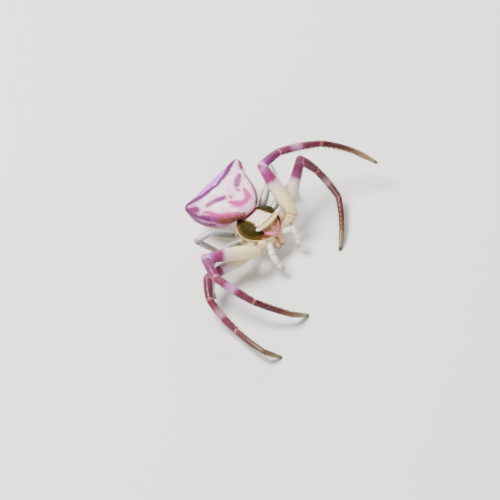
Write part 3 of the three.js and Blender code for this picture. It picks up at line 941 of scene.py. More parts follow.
@dataclass
class Markings:
    """The painted pattern of the abdomen, with a painted bluish tint over its rear, as masks over its points.
    """

    points: Array
    lean: float = 0.13
    furrow: float = 2.86
    pit_step: float = 0.34

    def masks(self) -> dict[str, Array]:
        """Gives each marking of the abdomen by name.

        Returns:
            A mask from 0 to 1 over the points, by name.
        """
        x, y, z = self.points.T
        folded = self.points.copy()
        folded[:, 0] = np.abs(x - self.lean * smoothstep(4.4, 3.0, y) * smoothstep(3.3, 3.5, z))
        found = {name: Stroke.lay(strokes, folded) for name, strokes in ABDOMEN_STROKES.items()}
        middle = 4.60 + 0.09 * x**2
        # The rear slope's lilac: partly the abdomen's own colour, partly a painted bluish reflected light
        found["rear"] = smoothstep(middle, middle + 0.28, y) * smoothstep(2.9, 3.3, z)
        found["under"] = smoothstep(2.35, 1.75, z + 0.10 * smoothstep(3.0, 1.8, y))
        found |= self._beneath(x, y, smoothstep(2.1, 1.9, z))
        found["flank"] = smoothstep(3.36, 3.02, z)
        return found

    def _beneath(self, x: Array, y: Array, below: Array) -> dict[str, Array]:
        """Gives what lies under the abdomen.

        Args:
            x: places to the left.
            y: places to the rear.
            below: 1 on the underside and 0 elsewhere.

        Returns:
            The furrow across it with the dark plate at its middle, the lung covers in front of it, the dusky
            band behind it and the two rows of muscle pits in the band.
        """
        across = np.abs(x)
        behind = y - self.furrow
        step = behind % self.pit_step - self.pit_step / 2
        band = smoothstep(0.72, 0.30, across + 0.14 * behind) * smoothstep(0.15, 0.55, behind)
        found = {
            "furrow": bell(behind + 0.07 * across**2, 0.055) * smoothstep(1.35, 1.05, across),
            "plate": bell(across, 0.17) * bell(behind + 0.13, 0.11),
            "lung": bell(across - 0.78, 0.34) * bell(behind + 0.36, 0.22),
            "dusk": band * smoothstep(4.95, 4.45, y),
            "pits": bell(np.hypot(across - 0.34, step), 0.045) * band,
        }
        return {name: mask * below for name, mask in found.items()}


class SkinBuilder:
    """One skin over the whole body and every limb, painted by region."""

    middle_height = 2.4
    search_reach = 4.0
    muscle_pits = ((0.34, 2.98), (0.50, 3.62), (0.30, 4.16))
    pit_width = 0.055
    folds_per_turn = 56
    suture_reach = 0.06
    joint_depth = 0.030
    collar_height = 0.014
    fold_height = 0.022
    pit_depth = 0.030
    furrow_depth = 0.035
    cover_height = 0.028

    def __init__(self, legs: list[Leg], mouth: Mouthparts, under: Underside, abdomen: Abdomen) -> None:
        """Keeps the parts that the skin covers.

        Args:
            legs: the eight legs.
            mouth: chelicerae and palps.
            under: breastplate, mouth plates and waist.
            abdomen: the abdomen.
        """
        self.limbs = [limb for leg in legs for limb in leg.limbs] + mouth.limbs() + under.limbs()
        self.under = under
        self.abdomen = abdomen

    def build(self) -> Object:
        """Models every part, fuses them into one smooth closed skin and paints it.

        Returns:
            The skin.
        """
        body = self.abdomen.build()
        plates = self.under.plates()
        plates.append(self.under.dome(*self.under.spinneret_root))
        self.abdomen_tree = self.tree(body)
        regions = [(Region.ABDOMEN, self.abdomen_tree)]
        regions += [(Region.BREAST, self.tree(plate)) for plate in plates[:-1]]
        regions.append((Region.WAIST, self.tree(plates[-1])))
        limbs = [limb.build() for limb in self.limbs]
        obj = Bench.fuse([body, *plates, *limbs], "spider_skin", SKIN_VOXEL)
        self._sort(obj, regions)
        self._joints(obj)
        self._folds(obj)
        points = Bench.points(obj)
        points[:, 2] = np.maximum(points[:, 2], FLOOR_CLEARANCE)
        Bench.set_points(obj, points)
        masks = Markings(points).masks() | {"fold": self.fold, "suture": self.suture}
        masks |= {"along": self._softened(obj, self.along), "top": self._softened(obj, self.top)}
        for name, mask in masks.items():
            Bench.paint(obj, name, mask)
        return obj

    @staticmethod
    def _softened(obj: Object, values: Array, rounds: int = 6) -> Array:
        """Evens out numbers on a mesh with those of the points beside each.

        Args:
            obj: the mesh object.
            values: one number for each point.
            rounds: how often it is done.

        Returns:
            The softer numbers.
        """
        ends = Bench.read(obj.data.edges, "vertices", 2, int)
        first, second = np.concatenate([ends, ends[:, ::-1]]).T
        count = np.maximum(np.bincount(first, minlength=len(values)), 1)
        for _ in range(rounds):
            values = (values + np.bincount(first, values[second], len(values)) / count) / 2
        return values

    @staticmethod
    def tree(obj: Object) -> BVHTree:
        """Gives a search tree over a mesh in its present place."""
        mesh = obj.data
        corners = [tuple(v.co) for v in mesh.vertices]
        return BVHTree.FromPolygons(corners, [tuple(p.vertices) for p in mesh.polygons])

    def _sort(self, obj: Object, regions: list[tuple[Region, BVHTree]]) -> None:
        """Finds the part that each point of the skin belongs to.

        Args:
            obj: the skin.
            regions: search trees over the parts that aren't limbs, with their regions.
        """
        points = Bench.points(obj)
        none = np.zeros(len(points), int)
        self.best, self.second = none + FAR, none + FAR
        self.region, self.limb_of = none, none - 1
        self.along = self.top = self.share = self.turn = none * 1.0
        for number, limb in enumerate(self.limbs):
            distance, share, height, turn, past = limb.measure(points)
            self._claim(
                np.abs(distance), region=limb.region.value, along=limb.order + past, top=height, share=share,
                turn=turn, limb_of=number,
            )
        share = np.clip((points[:, 1] + 1.2) / 7.0, 0, 1)
        turn = np.arctan2(points[:, 0], points[:, 2] - self.middle_height) / (2 * math.pi) + 0.5
        for region, tree in regions:
            found = [tree.find_nearest(Vector(p), self.search_reach)[3] for p in points]
            reach = np.array([self.search_reach if d is None else d for d in found])
            self._claim(reach, region=region.value, share=share, turn=turn, limb_of=-1)
        self.suture = bell(self.second, self.suture_reach) * (self.region == Region.BREAST.value)
        slots = self.region[Bench.first_points(obj)]
        obj.data.polygons.foreach_set("material_index", slots.astype(np.int32))

    def _claim(self, reach: Array, **values: float | Array) -> None:
        """Gives values to the points that one part is nearer to than all before it.

        Args:
            reach: how far the part is from each point.
            values: what such a point takes on, by the name it is kept under.
        """
        nearer = reach < self.best
        self.second = np.minimum(self.second, np.where(nearer, self.best, reach))
        self.best = np.where(nearer, reach, self.best)
        for name, value in values.items():
            setattr(self, name, np.where(nearer, value, getattr(self, name)))

    def _joints(self, obj: Object) -> None:
        """Draws the skin in where plates meet and at each joint of a limb, with a low collar beside it.

        Args:
            obj: the skin.
        """
        step = self.along - np.round(self.along)
        length = np.array([limb.length() for limb in self.limbs] + [1.0])[self.limb_of]
        jointed = (self.region >= Region.FRONT_LEG.value) & (self.along > 0.5) & (self.along < 5.9)
        jointed |= (self.region == Region.PALP.value) & (self.along > 0.5) & (self.along < 3.5)
        off = np.abs(step) * length
        Bench.relief(obj, np.maximum(bell(off, 0.06) * jointed, self.suture), -self.joint_depth)
        Bench.relief(obj, bell(off - 0.14, 0.07) * jointed, self.collar_height)

    def _folds(self, obj: Object) -> None:
        """Gives the abdomen the folds of its flank, its small pits and the covers and furrow beneath.

        Args:
            obj: the skin.
        """
        points = Bench.points(obj)
        x, y, z = points.T
        wall = self.region == Region.ABDOMEN.value
        turn = np.arctan2(np.abs(x), y - 3.4)
        sway = 1.6 * np.sin(z * 4.1 + x) + 0.9 * np.sin(y * 7.3)
        sway += 2.2 * np.sin(turn * 9.0 + x) * smoothstep(4.0, 5.0, y)
        wave = 0.5 + 0.5 * np.sin(turn * self.folds_per_turn + sway)
        edge = smoothstep(3.2, 1.9, y) * smoothstep(3.64, 3.52, z)
        flank = np.maximum(smoothstep(3.55, 3.15, z), edge * 0.8) * smoothstep(1.5, 2.1, z)
        flank *= 1 - (0.55 + 0.35 * np.sin(x * 3.7 + z * 2.9)) * smoothstep(4.5, 5.1, y)
        Bench.relief(obj, wave * flank * wall, self.fold_height)
        self.fold = (1 - wave) * flank * wall
        away = [np.hypot(np.abs(x) - across, y - back) for across, back in self.muscle_pits]
        pits = bell(np.minimum.reduce(away), self.pit_width)
        Bench.relief(obj, pits * wall * (z > 3.0), -self.pit_depth)
        beneath = Markings(points).masks()
        furrow = np.maximum(beneath["furrow"], beneath["pits"] * 0.6)
        Bench.relief(obj, furrow * wall, -self.furrow_depth)
        Bench.relief(obj, np.maximum(beneath["lung"], beneath["plate"]) * wall, self.cover_height)


def add_node(
    tree: NodeTree, kind: str, settings: dict | None = None, links: dict | None = None,
    output: int | str = 0,
) -> NodeSocket | None:
    """Adds one shader node to a material's tree.

    Args:
        tree: the material's node tree.
        kind: the node's type name.
        settings: values by property name, or by input name or number.
        links: sockets to read, by input name or number.
        output: the output wanted.

    Returns:
        That output's socket, or nothing where the node ends the tree.
    """
    node = tree.nodes.new("ShaderNode" + kind)
    for key, value in (settings or {}).items():
        if isinstance(key, str) and hasattr(node, key):
            setattr(node, key, value)
        else:
            node.inputs[key].default_value = value
    for key, socket in (links or {}).items():
        tree.links.new(socket, node.inputs[key])
    return node.outputs[output] if node.outputs else None


def blank_material(name: str) -> tuple[Material, Callable, NodeSocket]:
    """Starts a material with an empty tree and the socket of Object coordinates.

    Args:
        name: what the material is called.

    Returns:
        The material, what adds nodes to it, and the socket.
    """
    material = bpy.data.materials.new(name)
    material.use_nodes = True
    material.node_tree.nodes.clear()
    node = partial(add_node, material.node_tree)
    return material, node, node("TexCoord", output="Object")


@dataclass(frozen=True)
class Layer:
    """One marking, painted shade or painted highlight laid over a ground colour where a mask is high."""

    mask: str
    colour: str
    low: float = 0.25
    high: float = 0.75
    strength: float = 1.0
    ragged: float = 0.25

    def over(self, node: Callable, blotch: NodeSocket, under: NodeSocket) -> NodeSocket:
        """Lays the marking over the colour so far, broken where blotches of pigment thin out.

        Args:
            node: adds a node to the material.
            blotch: uneven patches about twice the size of the grain.
            under: the colour so far.

        Returns:
            The new colour's socket.
        """
        mask = node("Attribute", {"attribute_name": self.mask}, output="Fac")
        spread = {1: self.ragged, 2: 1 - 0.5 * self.ragged}
        ragged = node("Math", {"operation": "MULTIPLY_ADD", **spread}, {0: blotch})
        edge = node("Math", {"operation": "MULTIPLY"}, {0: mask, 1: ragged})
        span = {"From Min": self.low, "From Max": self.high, "To Max": self.strength}
        factor = node("MapRange", {"interpolation_type": "SMOOTHSTEP", **span}, {"Value": edge})
        return node("Mix", {"data_type": "RGBA", 7: srgb(self.colour)}, {0: factor, 6: under}, 2)


# The wave texture's scale for one wave to each unit of length
WAVES_PER_TURN = 0.314
# How much paler a clear hair looks than the skin it stands on
HAIR_PALENESS = 0.18
HAIR_COLOUR = "#F4E8D8"


@dataclass(frozen=True)
class Cuticle:
    """Spider cuticle: thin, waxy and slightly clear, so light soaks in a little and the sheen is soft."""

    name: str
    ground: str
    mottle: str
    layers: tuple[Layer, ...] = ()
    ramp: tuple[tuple[float, str], ...] = ()
    ramp_span: float = 6.0
    roughness: float = 0.38
    clearness: float = 0.25
    depth_mm: float = 0.12
    gloss: float = 0.5
    coat: float = 0.15
    grain_mm: float = 0.10
    grain_depth_mm: float = 0.006
    wrinkle_mm: float = 0.0
    wrinkle_depth_mm: float = 0.012
    hair: bool = False

    def material(self) -> Material:
        """Lays out the nodes: ground and mottle, markings by mask, then gloss, clearness and grain.

        Returns:
            The material.
        """
        material, node, place = blank_material(self.name + ("_hair" if self.hair else ""))
        scale = 1 / (self.grain_mm * LIFE_SIZE)
        fine, broad, blotch = (
            node("TexNoise", {"Scale": scale / size, "Detail": detail, "Roughness": rough}, {"Vector": place})
            for size, detail, rough in ((1, 3.0, 0.5), (4, 2.0, 0.5), (2, 4.0, 0.65))
        )
        colour = self._ground(node, fine, broad)
        for layer in self.layers:
            colour = layer.over(node, blotch, colour)
        links = {"Base Color": colour}
        if self.hair:
            paler = {"data_type": "RGBA", 0: HAIR_PALENESS, 7: srgb(HAIR_COLOUR)}
            links = {"Base Color": node("Mix", paler, {6: colour}, 2)}
        else:
            links["Normal"] = self._relief(node, place, fine)
        shader = node(
            "BsdfPrincipled",
            {"Roughness": self.roughness, "IOR": 1.48, "Specular IOR Level": self.gloss,
             "Coat Weight": self.coat, "Coat Roughness": 0.18,
             "Subsurface Weight": self.clearness, "Subsurface Radius": (1.0, 0.6, 0.5),
             "Subsurface Scale": self.depth_mm * LIFE_SIZE},
            links,
        )
        node("OutputMaterial", links={"Surface": shader})
        return material

    def _ground(self, node: Callable, fine: NodeSocket, broad: NodeSocket) -> NodeSocket:
        """Gives the colour under the markings.

        Args:
            node: adds a node to the material.
            fine: the fine grain.
            broad: the same at four times the size.

        Returns:
            The colour's socket.
        """
        if not self.ramp:
            patch = node("MapRange", {"From Min": 0.42, "From Max": 0.62}, {"Value": broad})
            two = {"data_type": "RGBA", 6: srgb(self.ground), 7: srgb(self.mottle)}
            return node("Mix", two, {0: patch}, 2)
        along = node("Attribute", {"attribute_name": "along"}, output="Fac")
        ragged = node("Math", {"operation": "MULTIPLY_ADD", 1: 0.10, 2: -0.05}, {0: broad})
        shifted = node("Math", {"operation": "ADD"}, {0: along, 1: ragged})
        share = node("Math", {"operation": "DIVIDE", 1: self.ramp_span, "use_clamp": True}, {0: shifted})
        ramp = node("ValToRGB", links={"Fac": share})
        elements = ramp.node.color_ramp.elements
        for element, (stop, code) in zip(elements, (self.ramp[0], self.ramp[-1])):
            element.position, element.color = stop / self.ramp_span, srgb(code)
        for stop, code in self.ramp[1:-1]:
            elements.new(stop / self.ramp_span).color = srgb(code)
        speck = node("MapRange", {"From Min": 0.52, "From Max": 0.75, "To Max": 0.35}, {"Value": fine})
        return node("Mix", {"data_type": "RGBA", 7: srgb(self.mottle)}, {0: speck, 6: ramp}, 2)

    def _relief(self, node: Callable, place: NodeSocket, fine: NodeSocket) -> NodeSocket:
        """Gives the normal of the grain, with fine wrinkles where the finish has them.

        Args:
            node: adds a node to the material.
            place: Object coordinates.
            fine: the fine grain.

        Returns:
            The normal's socket.
        """
        depth = {"Strength": 0.6, "Distance": self.grain_depth_mm * LIFE_SIZE}
        normal = node("Bump", depth, {"Height": fine})
        if not self.wrinkle_mm:
            return normal
        scale = WAVES_PER_TURN / (self.wrinkle_mm * LIFE_SIZE)
        bands = {"Scale": scale, "Distortion": 5.0, "Detail": 2.0, "Detail Scale": 1.2}
        waves = node("TexWave", {"bands_direction": "Z", **bands}, {"Vector": place}, "Fac")
        depth = {"Strength": 0.5, "Distance": self.wrinkle_depth_mm * LIFE_SIZE}
        return node("Bump", depth, {"Height": waves, "Normal": normal})


# Soft abdomen wall over white guanine crystals: chalky white, satin, with fine folds
ABDOMEN_WALL = Cuticle(
    "guanine_white_abdomen_wall", "#FFE2F0", "#F2B0D6",
    (
        Layer("flank", "#CC6AA8", 0.1, 0.95, 0.80, 0.9),
        Layer("under", "#E2C3A0", 0.2, 0.9, 0.9, 0.5), Layer("under", "#F8ECDC", 0.95, 1.5, 0.8, 2.6),
        Layer("dusk", "#B08A6C", 0.05, 1.1, 0.55, 1.6),
        Layer("pits", "#7A563E", 0.2, 0.8, 0.8, 0.2),
        Layer("lung", "#EEDCA8", 0.2, 0.8, 0.8, 0.2),
        Layer("furrow", "#8C6448", 0.25, 0.9, 0.8, 0.3),
        Layer("plate", "#5A3222", 0.25, 0.7, 0.9, 0.3),
        # Lilac of the rear slope, partly the abdomen's own colour and partly a painted bluish reflected light
        Layer("rear", "#BE54D0", 0.1, 1.15, 0.95, 1.7),
        Layer("fold", "#C24C96", 0.35, 1.0, 0.65, 0.9),
        Layer("pink", "#C03A86", 0.02, 0.85, 1.0, 0.9),
        Layer("wine", "#843068", 0.04, 0.80, 1.0, 1.8),
        Layer("mauve", "#842468", 0.05, 0.75, 1.0, 2.2),
        Layer("purple", "#64165E", 0.03, 0.66, 1.0, 1.2),
        Layer("rust", "#7C3A30", 0.05, 0.70, 1.0, 0.8),
        Layer("rust", "#8E3A58", 0.90, 1.60, 0.7, 2.2),
    ),
    roughness=0.45, clearness=0.12, depth_mm=0.07, gloss=0.4, coat=0.12, grain_mm=0.11, grain_depth_mm=0.012,
    wrinkle_mm=0.17,
)
# Bare flexible cuticle of the waist and under the spinnerets: matt, yellowish and a little clear
WAIST_WALL = Cuticle("bare_waist_cuticle", "#D8C48E", "#B08E58", roughness=0.5, clearness=0.25)
# Hard pale plates under the body: waxy cream with tan at their borders
BREAST_PLATE = Cuticle(
    "waxy_breast_plate", "#EEDCC0", "#CFA87C",
    (Layer("under", "#E4CFA4", 0.2, 0.9, 0.5), Layer("suture", "#8A5E3A", 0.15, 1.0, 0.8, 0.8)),
    roughness=0.42,
)
# Hard cuticle of the jaws: glossy tan like thin horn, with brown blotches, darkest round the fang, and paler
# over the top as a painted highlight
JAW_HORN = Cuticle(
    "tan_jaw_cuticle", "#E6B478", "#7E5230",
    # Painted highlight: paler tan over the top of each jaw
    (Layer("top", "#F2D4A4", 0.3, 1.0, 0.5, 0.6), Layer("along", "#6A3E22", 0.80, 1.08, 0.8, 0.2)),
    roughness=0.32, clearness=0.15, coat=0.25, grain_mm=0.12,
)
# Palps: thin, nearly white cuticle, waxy, with a dusky ring at each joint and a tan tip
PALP_WALL = Cuticle(
    "white_palp_cuticle", "#F2ECE4", "#8E8288",
    ramp=(
        (0.00, "#DCC8A4"), (0.70, "#EDE4DA"), (0.94, "#F4F0EC"), (1.00, "#8C7C78"), (1.07, "#F2ECE8"),
        (1.90, "#EFE9E6"), (2.00, "#85767A"), (2.08, "#F2EEEC"), (2.92, "#E9E2E0"), (3.01, "#85787A"),
        (3.10, "#ECE6E2"), (3.60, "#D9CCBE"), (3.92, "#8A6E54"), (4.00, "#5E4632"),
    ),
    ramp_span=4.0, roughness=0.40, clearness=0.20, coat=0.2,
)
# Spinnerets: cream cuticle with a dusky ring at each segment and brown tips
SPINNERET_WALL = Cuticle(
    "cream_spinneret_cuticle", "#E8D8B0", "#A8845C",
    ramp=(
        (0.00, "#E6D6B0"), (0.32, "#E2D0A6"), (0.38, "#A07C52"), (0.46, "#E0CEA4"), (0.70, "#D6BE90"),
        (0.76, "#94703F"), (0.84, "#C2A274"), (1.00, "#6E4E30"),
    ),
    ramp_span=1.0, roughness=0.42, clearness=0.15,
)
# Front legs: waxy cuticle, white over the femur and wine pink beyond, with a pale ring at each joint; the
# pale lilac knee is partly a painted highlight
FRONT_LEG_CUTICLE = Cuticle(
    "banded_front_leg_cuticle", "#F2E2B4", "#4A1830",
    ramp=(
        (0.00, "#E8D2AC"), (0.30, "#E6CCA0"), (0.55, "#C89C6C"), (0.75, "#EAD8B4"), (0.97, "#C0905C"),
        (1.06, "#E6D29E"), (1.30, "#F2E0AE"), (1.50, "#EAD6B4"), (1.62, "#D8C2CC"), (1.67, "#C47C9C"),
        # At 1.99 the pale lilac knee, partly a painted highlight
        (1.71, "#862A58"), (1.84, "#842E64"), (1.93, "#A44E90"), (1.99, "#DCA8CE"), (2.05, "#B864A0"),
        (2.14, "#86367A"), (2.50, "#742A5C"), (2.94, "#702850"), (2.99, "#D6709A"), (3.03, "#7A3050"),
        (3.24, "#6C2A46"), (3.36, "#A8649C"), (3.48, "#B480A8"), (3.57, "#7A3050"), (3.66, "#5A2036"),
        (3.95, "#561E30"), (3.99, "#A8604E"), (4.05, "#4A1A22"), (4.60, "#4E2226"), (5.00, "#6E4C38"),
        (5.82, "#8C8058"), (5.95, "#3C2C20"),
    ),
    roughness=0.32, clearness=0.06, gloss=0.2, coat=0.16,
)
# Second legs: the same cuticle with a darker, browner wine and no white at the knee
SECOND_LEG_CUTICLE = replace(
    FRONT_LEG_CUTICLE, name="dark_second_leg_cuticle",
    ramp=(
        (0.00, "#D8C090"), (0.55, "#B48C5C"), (0.75, "#DCC8A0"), (0.97, "#A87C50"), (1.06, "#D2BC8E"),
        (1.30, "#DCCCA8"), (1.52, "#D4C4C0"), (1.62, "#BE9CB4"), (1.68, "#7A2A58"), (1.86, "#60203E"),
        (1.95, "#703052"), (2.00, "#A06478"), (2.06, "#6E2C4A"), (2.40, "#5E2238"), (2.94, "#582030"),
        (2.99, "#C47478"), (3.03, "#5E2230"), (3.22, "#642A38"), (3.36, "#946878"), (3.48, "#A67C90"),
        (3.58, "#6A2842"), (3.95, "#5C2830"), (3.99, "#B07468"), (4.05, "#5A262E"), (4.60, "#4E2624"),
        (5.00, "#624630"), (5.82, "#7C7250"), (5.95, "#382A1E"),
    ),
)
# Hind legs: thin clear cuticle over greyish flesh, paler over the upper side as a painted highlight
HIND_LEG_CUTICLE = Cuticle(
    "clear_hind_leg_cuticle", "#8C8E88", "#5C566C",
    # Painted highlight: paler grey over the upper side of each segment
    (Layer("top", "#CCC8C8", 0.62, 1.0, 0.8, 0.3),),
    ramp=(
        (0.00, "#C8B894"), (0.90, "#B4A88C"), (1.02, "#6C6A5C"), (1.20, "#84867E"), (1.60, "#868A88"),
        # At 1.98 the whitish lilac knee, partly a painted highlight
        (1.88, "#A8A0AA"), (1.98, "#D2C4D2"), (2.10, "#B4A8BC"), (2.80, "#A090A8"), (2.95, "#AC8CA4"),
        (3.02, "#5A5074"), (3.15, "#B0A6AE"), (3.90, "#A89E92"), (4.00, "#C8B8A0"), (4.10, "#A0967C"),
        (5.00, "#A89C78"), (5.75, "#7C6C4C"), (5.95, "#3A2C22"),
    ),
    roughness=0.32, clearness=0.20, gloss=0.4, coat=0.25,
)
# The shield: thick glossy cuticle, olive and amber over dark flesh, with chalk white under its middle band,
# painted shade in the hollow behind the crest and under the abdomen's edge, and horn tips brightened by a
# painted highlight
SHIELD_CUTICLE = Cuticle(
    "olive_amber_shield_cuticle", "#2E280C", "#3A3016",
    (
        Layer("amber", "#604A26", 0.1, 0.95, 0.9, 0.4), Layer("band_edge", "#A87E5C", 0.15, 1.0, 0.85, 0.9),
        Layer("band", "#F6D2C8", 0.25, 0.75, 1.0, 0.3), Layer("band", "#CFA8C4", 0.9, 1.5, 0.7, 2.4),
        # Painted shade in the hollow behind the crest
        Layer("valley", "#DCE0C8", 0.2, 0.9, 0.5, 0.6),
        Layer("brow", "#9C7450", 0.25, 0.8, 0.95, 0.5), Layer("brow", "#B87C6C", 0.8, 1.5, 0.8, 2.2),
        Layer("muzzle", "#B98A5E", 0.25, 0.8, 0.9, 0.7), Layer("muzzle", "#E0B088", 0.9, 1.5, 0.7, 2.4),
        Layer("rust", "#683A28", 0.1, 0.95, 0.95, 1.2), Layer("ridge", "#F2D29A", 0.25, 0.85, 1.0, 0.9),
        Layer("ridge", "#C89868", 0.95, 1.6, 0.7, 2.4),
        Layer("tan_line", "#A88452", 0.25, 0.8, 0.85, 0.5), Layer("seam", "#5C4034", 0.2, 0.8, 0.8, 0.5),
        Layer("rim", "#E8D8A6", 0.3, 0.7, 0.95, 0.3),
        Layer("pink", "#E8709C", 0.06, 0.75, 0.85, 1.0), Layer("pink", "#F888D8", 0.55, 1.25, 0.85, 1.4),
        # Horn tips: pale cuticle brightened to near white, partly a painted highlight
        # Painted shade: dark brown in the crevice under the abdomen's edge
        Layer("horn", "#FFFCF8", 0.15, 0.95, 1.0, 0.9), Layer("crevice", "#4A2E20", 0.1, 0.9, 0.9, 0.5),
    ),
    roughness=0.50, clearness=0.03, gloss=0.03, coat=0.0, grain_mm=0.09, grain_depth_mm=0.010,
)

SKIN_FINISHES = {
    Region.ABDOMEN: ABDOMEN_WALL, Region.WAIST: WAIST_WALL, Region.BREAST: BREAST_PLATE,
    Region.CHELICERA: JAW_HORN, Region.PALP: PALP_WALL, Region.FRONT_LEG: FRONT_LEG_CUTICLE,
    Region.SECOND_LEG: SECOND_LEG_CUTICLE, Region.HIND_LEG: HIND_LEG_CUTICLE,
}


@dataclass(frozen=True)
class Hard:
    """A hard finish of one colour clouded with a second one: eyes, fangs, claws and stout bristles."""

    name: str
    colour: str
    second: str
    roughness: float
    coat: float
    clearness: float = 0.0

    def material(self) -> Material:
        """Lays out the nodes of the finish.

        Returns:
            The material.
        """
        material, node, place = blank_material(self.name)
        cloud = node("TexNoise", {"Scale": 1 / (0.05 * LIFE_SIZE), "Detail": 2.0}, {"Vector": place})
        colour = node("Mix", {"data_type": "RGBA", 6: srgb(self.colour), 7: srgb(self.second)}, {0: cloud}, 2)
        shader = node(
            "BsdfPrincipled",
            {"Roughness": self.roughness, "IOR": 1.5, "Coat Weight": self.coat, "Coat Roughness": 0.05,
             "Subsurface Weight": self.clearness, "Subsurface Scale": 0.1 * LIFE_SIZE},
            {"Base Color": colour},
        )
        node("OutputMaterial", links={"Surface": shader})
        return material


# Lens cuticle over dark pigment: wet black with a sharp highlight
EYE_LENS = Hard("dark_eye_lens", "#0A0808", "#1C1210", 0.06, 0.8)
# The low rim round each eye: tan cuticle, satin
EYE_COLLAR = Hard("tan_eye_collar", "#A87E50", "#6E4C2E", 0.45, 0.05)
# Thick tanned cuticle of fangs and claws: dark amber, glossy
FANG_HORN = Hard("tanned_fang_cuticle", "#5A2E16", "#2A140A", 0.22, 0.5, 0.1)
# Stout bristles: pale clear cuticle, straw coloured
BRISTLE_HORN = Hard("straw_bristle_cuticle", "#CDB890", "#A88C60", 0.35, 0.2, 0.3)
# Plain uncoated card under the spider: matt and pale
FLOOR_CARD = Hard("pale_card_floor", "#F0F0EC", "#EAEAE6", 0.9, 0.0)


class LifeSize:
    """Carries finished pieces from millimetres in the body's frame into the part's frame in metres."""

    def __init__(self) -> None:
        """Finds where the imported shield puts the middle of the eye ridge."""
        low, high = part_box("carapace")
        self.offset = Vector(((low.x + high.x) / 2, low.y - CARAPACE_FRONT * LIFE_SIZE, 0.0))

    def matrix(self) -> Matrix:
        """Gives the matrix from the body's frame to the part's frame."""
        return Matrix.Translation(self.offset) @ Matrix.Scale(LIFE_SIZE, 4)

    def place(self, point: Place) -> Vector:
        """Turns a point of the body's frame into one of the part's frame."""
        return self.matrix() @ Vector(point)

    def node(self, name: str) -> tuple[Vector, float]:
        """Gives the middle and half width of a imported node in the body's frame."""
        low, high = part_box(name)
        middle = (low + high) / 2
        return (middle - self.offset) / LIFE_SIZE, (high.x - low.x) / 2 / LIFE_SIZE

    def finish(self, obj: Object, slot: str, nodes: tuple[str, ...] = ()) -> None:
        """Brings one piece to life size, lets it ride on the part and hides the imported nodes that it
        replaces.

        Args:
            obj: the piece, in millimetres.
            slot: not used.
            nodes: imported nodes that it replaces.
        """
        obj.data.transform(self.matrix())
        Bench.activate(obj)
        bpy.ops.object.shade_smooth_by_angle(angle=math.radians(50))
        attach(obj, "root")
        if nodes:
            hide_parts(*nodes)
        LOG.info("%s: %d faces", obj.name, len(obj.data.polygons))


@dataclass
class Fitting:
    """Something that is modelled in the body's frame and then set on the part."""

    size: LifeSize


@dataclass
class Eyes(Fitting):
    """Eight eyes: a clear dome in a low tan collar, set on the shield nearest to each packed eye."""

    names: tuple[str, ...] = ("eye_front_middle", "eye_front_side", "eye_rear_middle", "eye_rear_side")
    sink: float = 0.15
    sides: int = 24

    def model(self) -> Object:
        """Models one eye of radius 1 that looks along +Z.

        Returns:
            The eye with its collar and its lens.
        """
        profile = [(-0.90, 0.95), (-0.30, 1.20), (0.00, 1.24), (0.15, 1.16), (0.22, 1.05), (0.20, 0.98)]
        bends = [math.radians(angle) for angle in (22, 34, 46, 58, 70, 80, 87)]
        profile += [(math.sin(bend), math.cos(bend)) for bend in bends]
        obj = Loft.turned(profile, self.sides).build("eye")
        Bench.dress(obj, EYE_COLLAR, EYE_LENS)
        for face in obj.data.polygons:
            face.material_index = 1 if face.center.z > 0.20 and math.hypot(*face.center.xy) < 1.02 else 0
        return obj

    def build(self, shield: Object) -> None:
        """Sets a copy of the eye where the shield comes nearest to each packed one.

        Args:
            shield: the shield, still in millimetres.
        """
        tree = SkinBuilder.tree(shield)
        first = self.model()
        for name in self.names:
            for side in Side:
                node = f"{name}_{side.name.lower()}"
                middle, radius = self.size.node(node)
                surface, normal, _, _ = tree.find_nearest(middle)
                piece = Bench.copy(first)
                piece.name = piece.data.name = "lens_" + node.removeprefix("eye_")
                turn = normal.to_track_quat("Z", "Y").to_matrix().to_4x4()
                centre = surface - normal * radius * self.sink
                Bench.place(piece, Matrix.Translation(centre) @ turn @ Matrix.Scale(radius, 4))
                self.size.finish(piece, "eye", (node,))
        bpy.data.objects.remove(first)


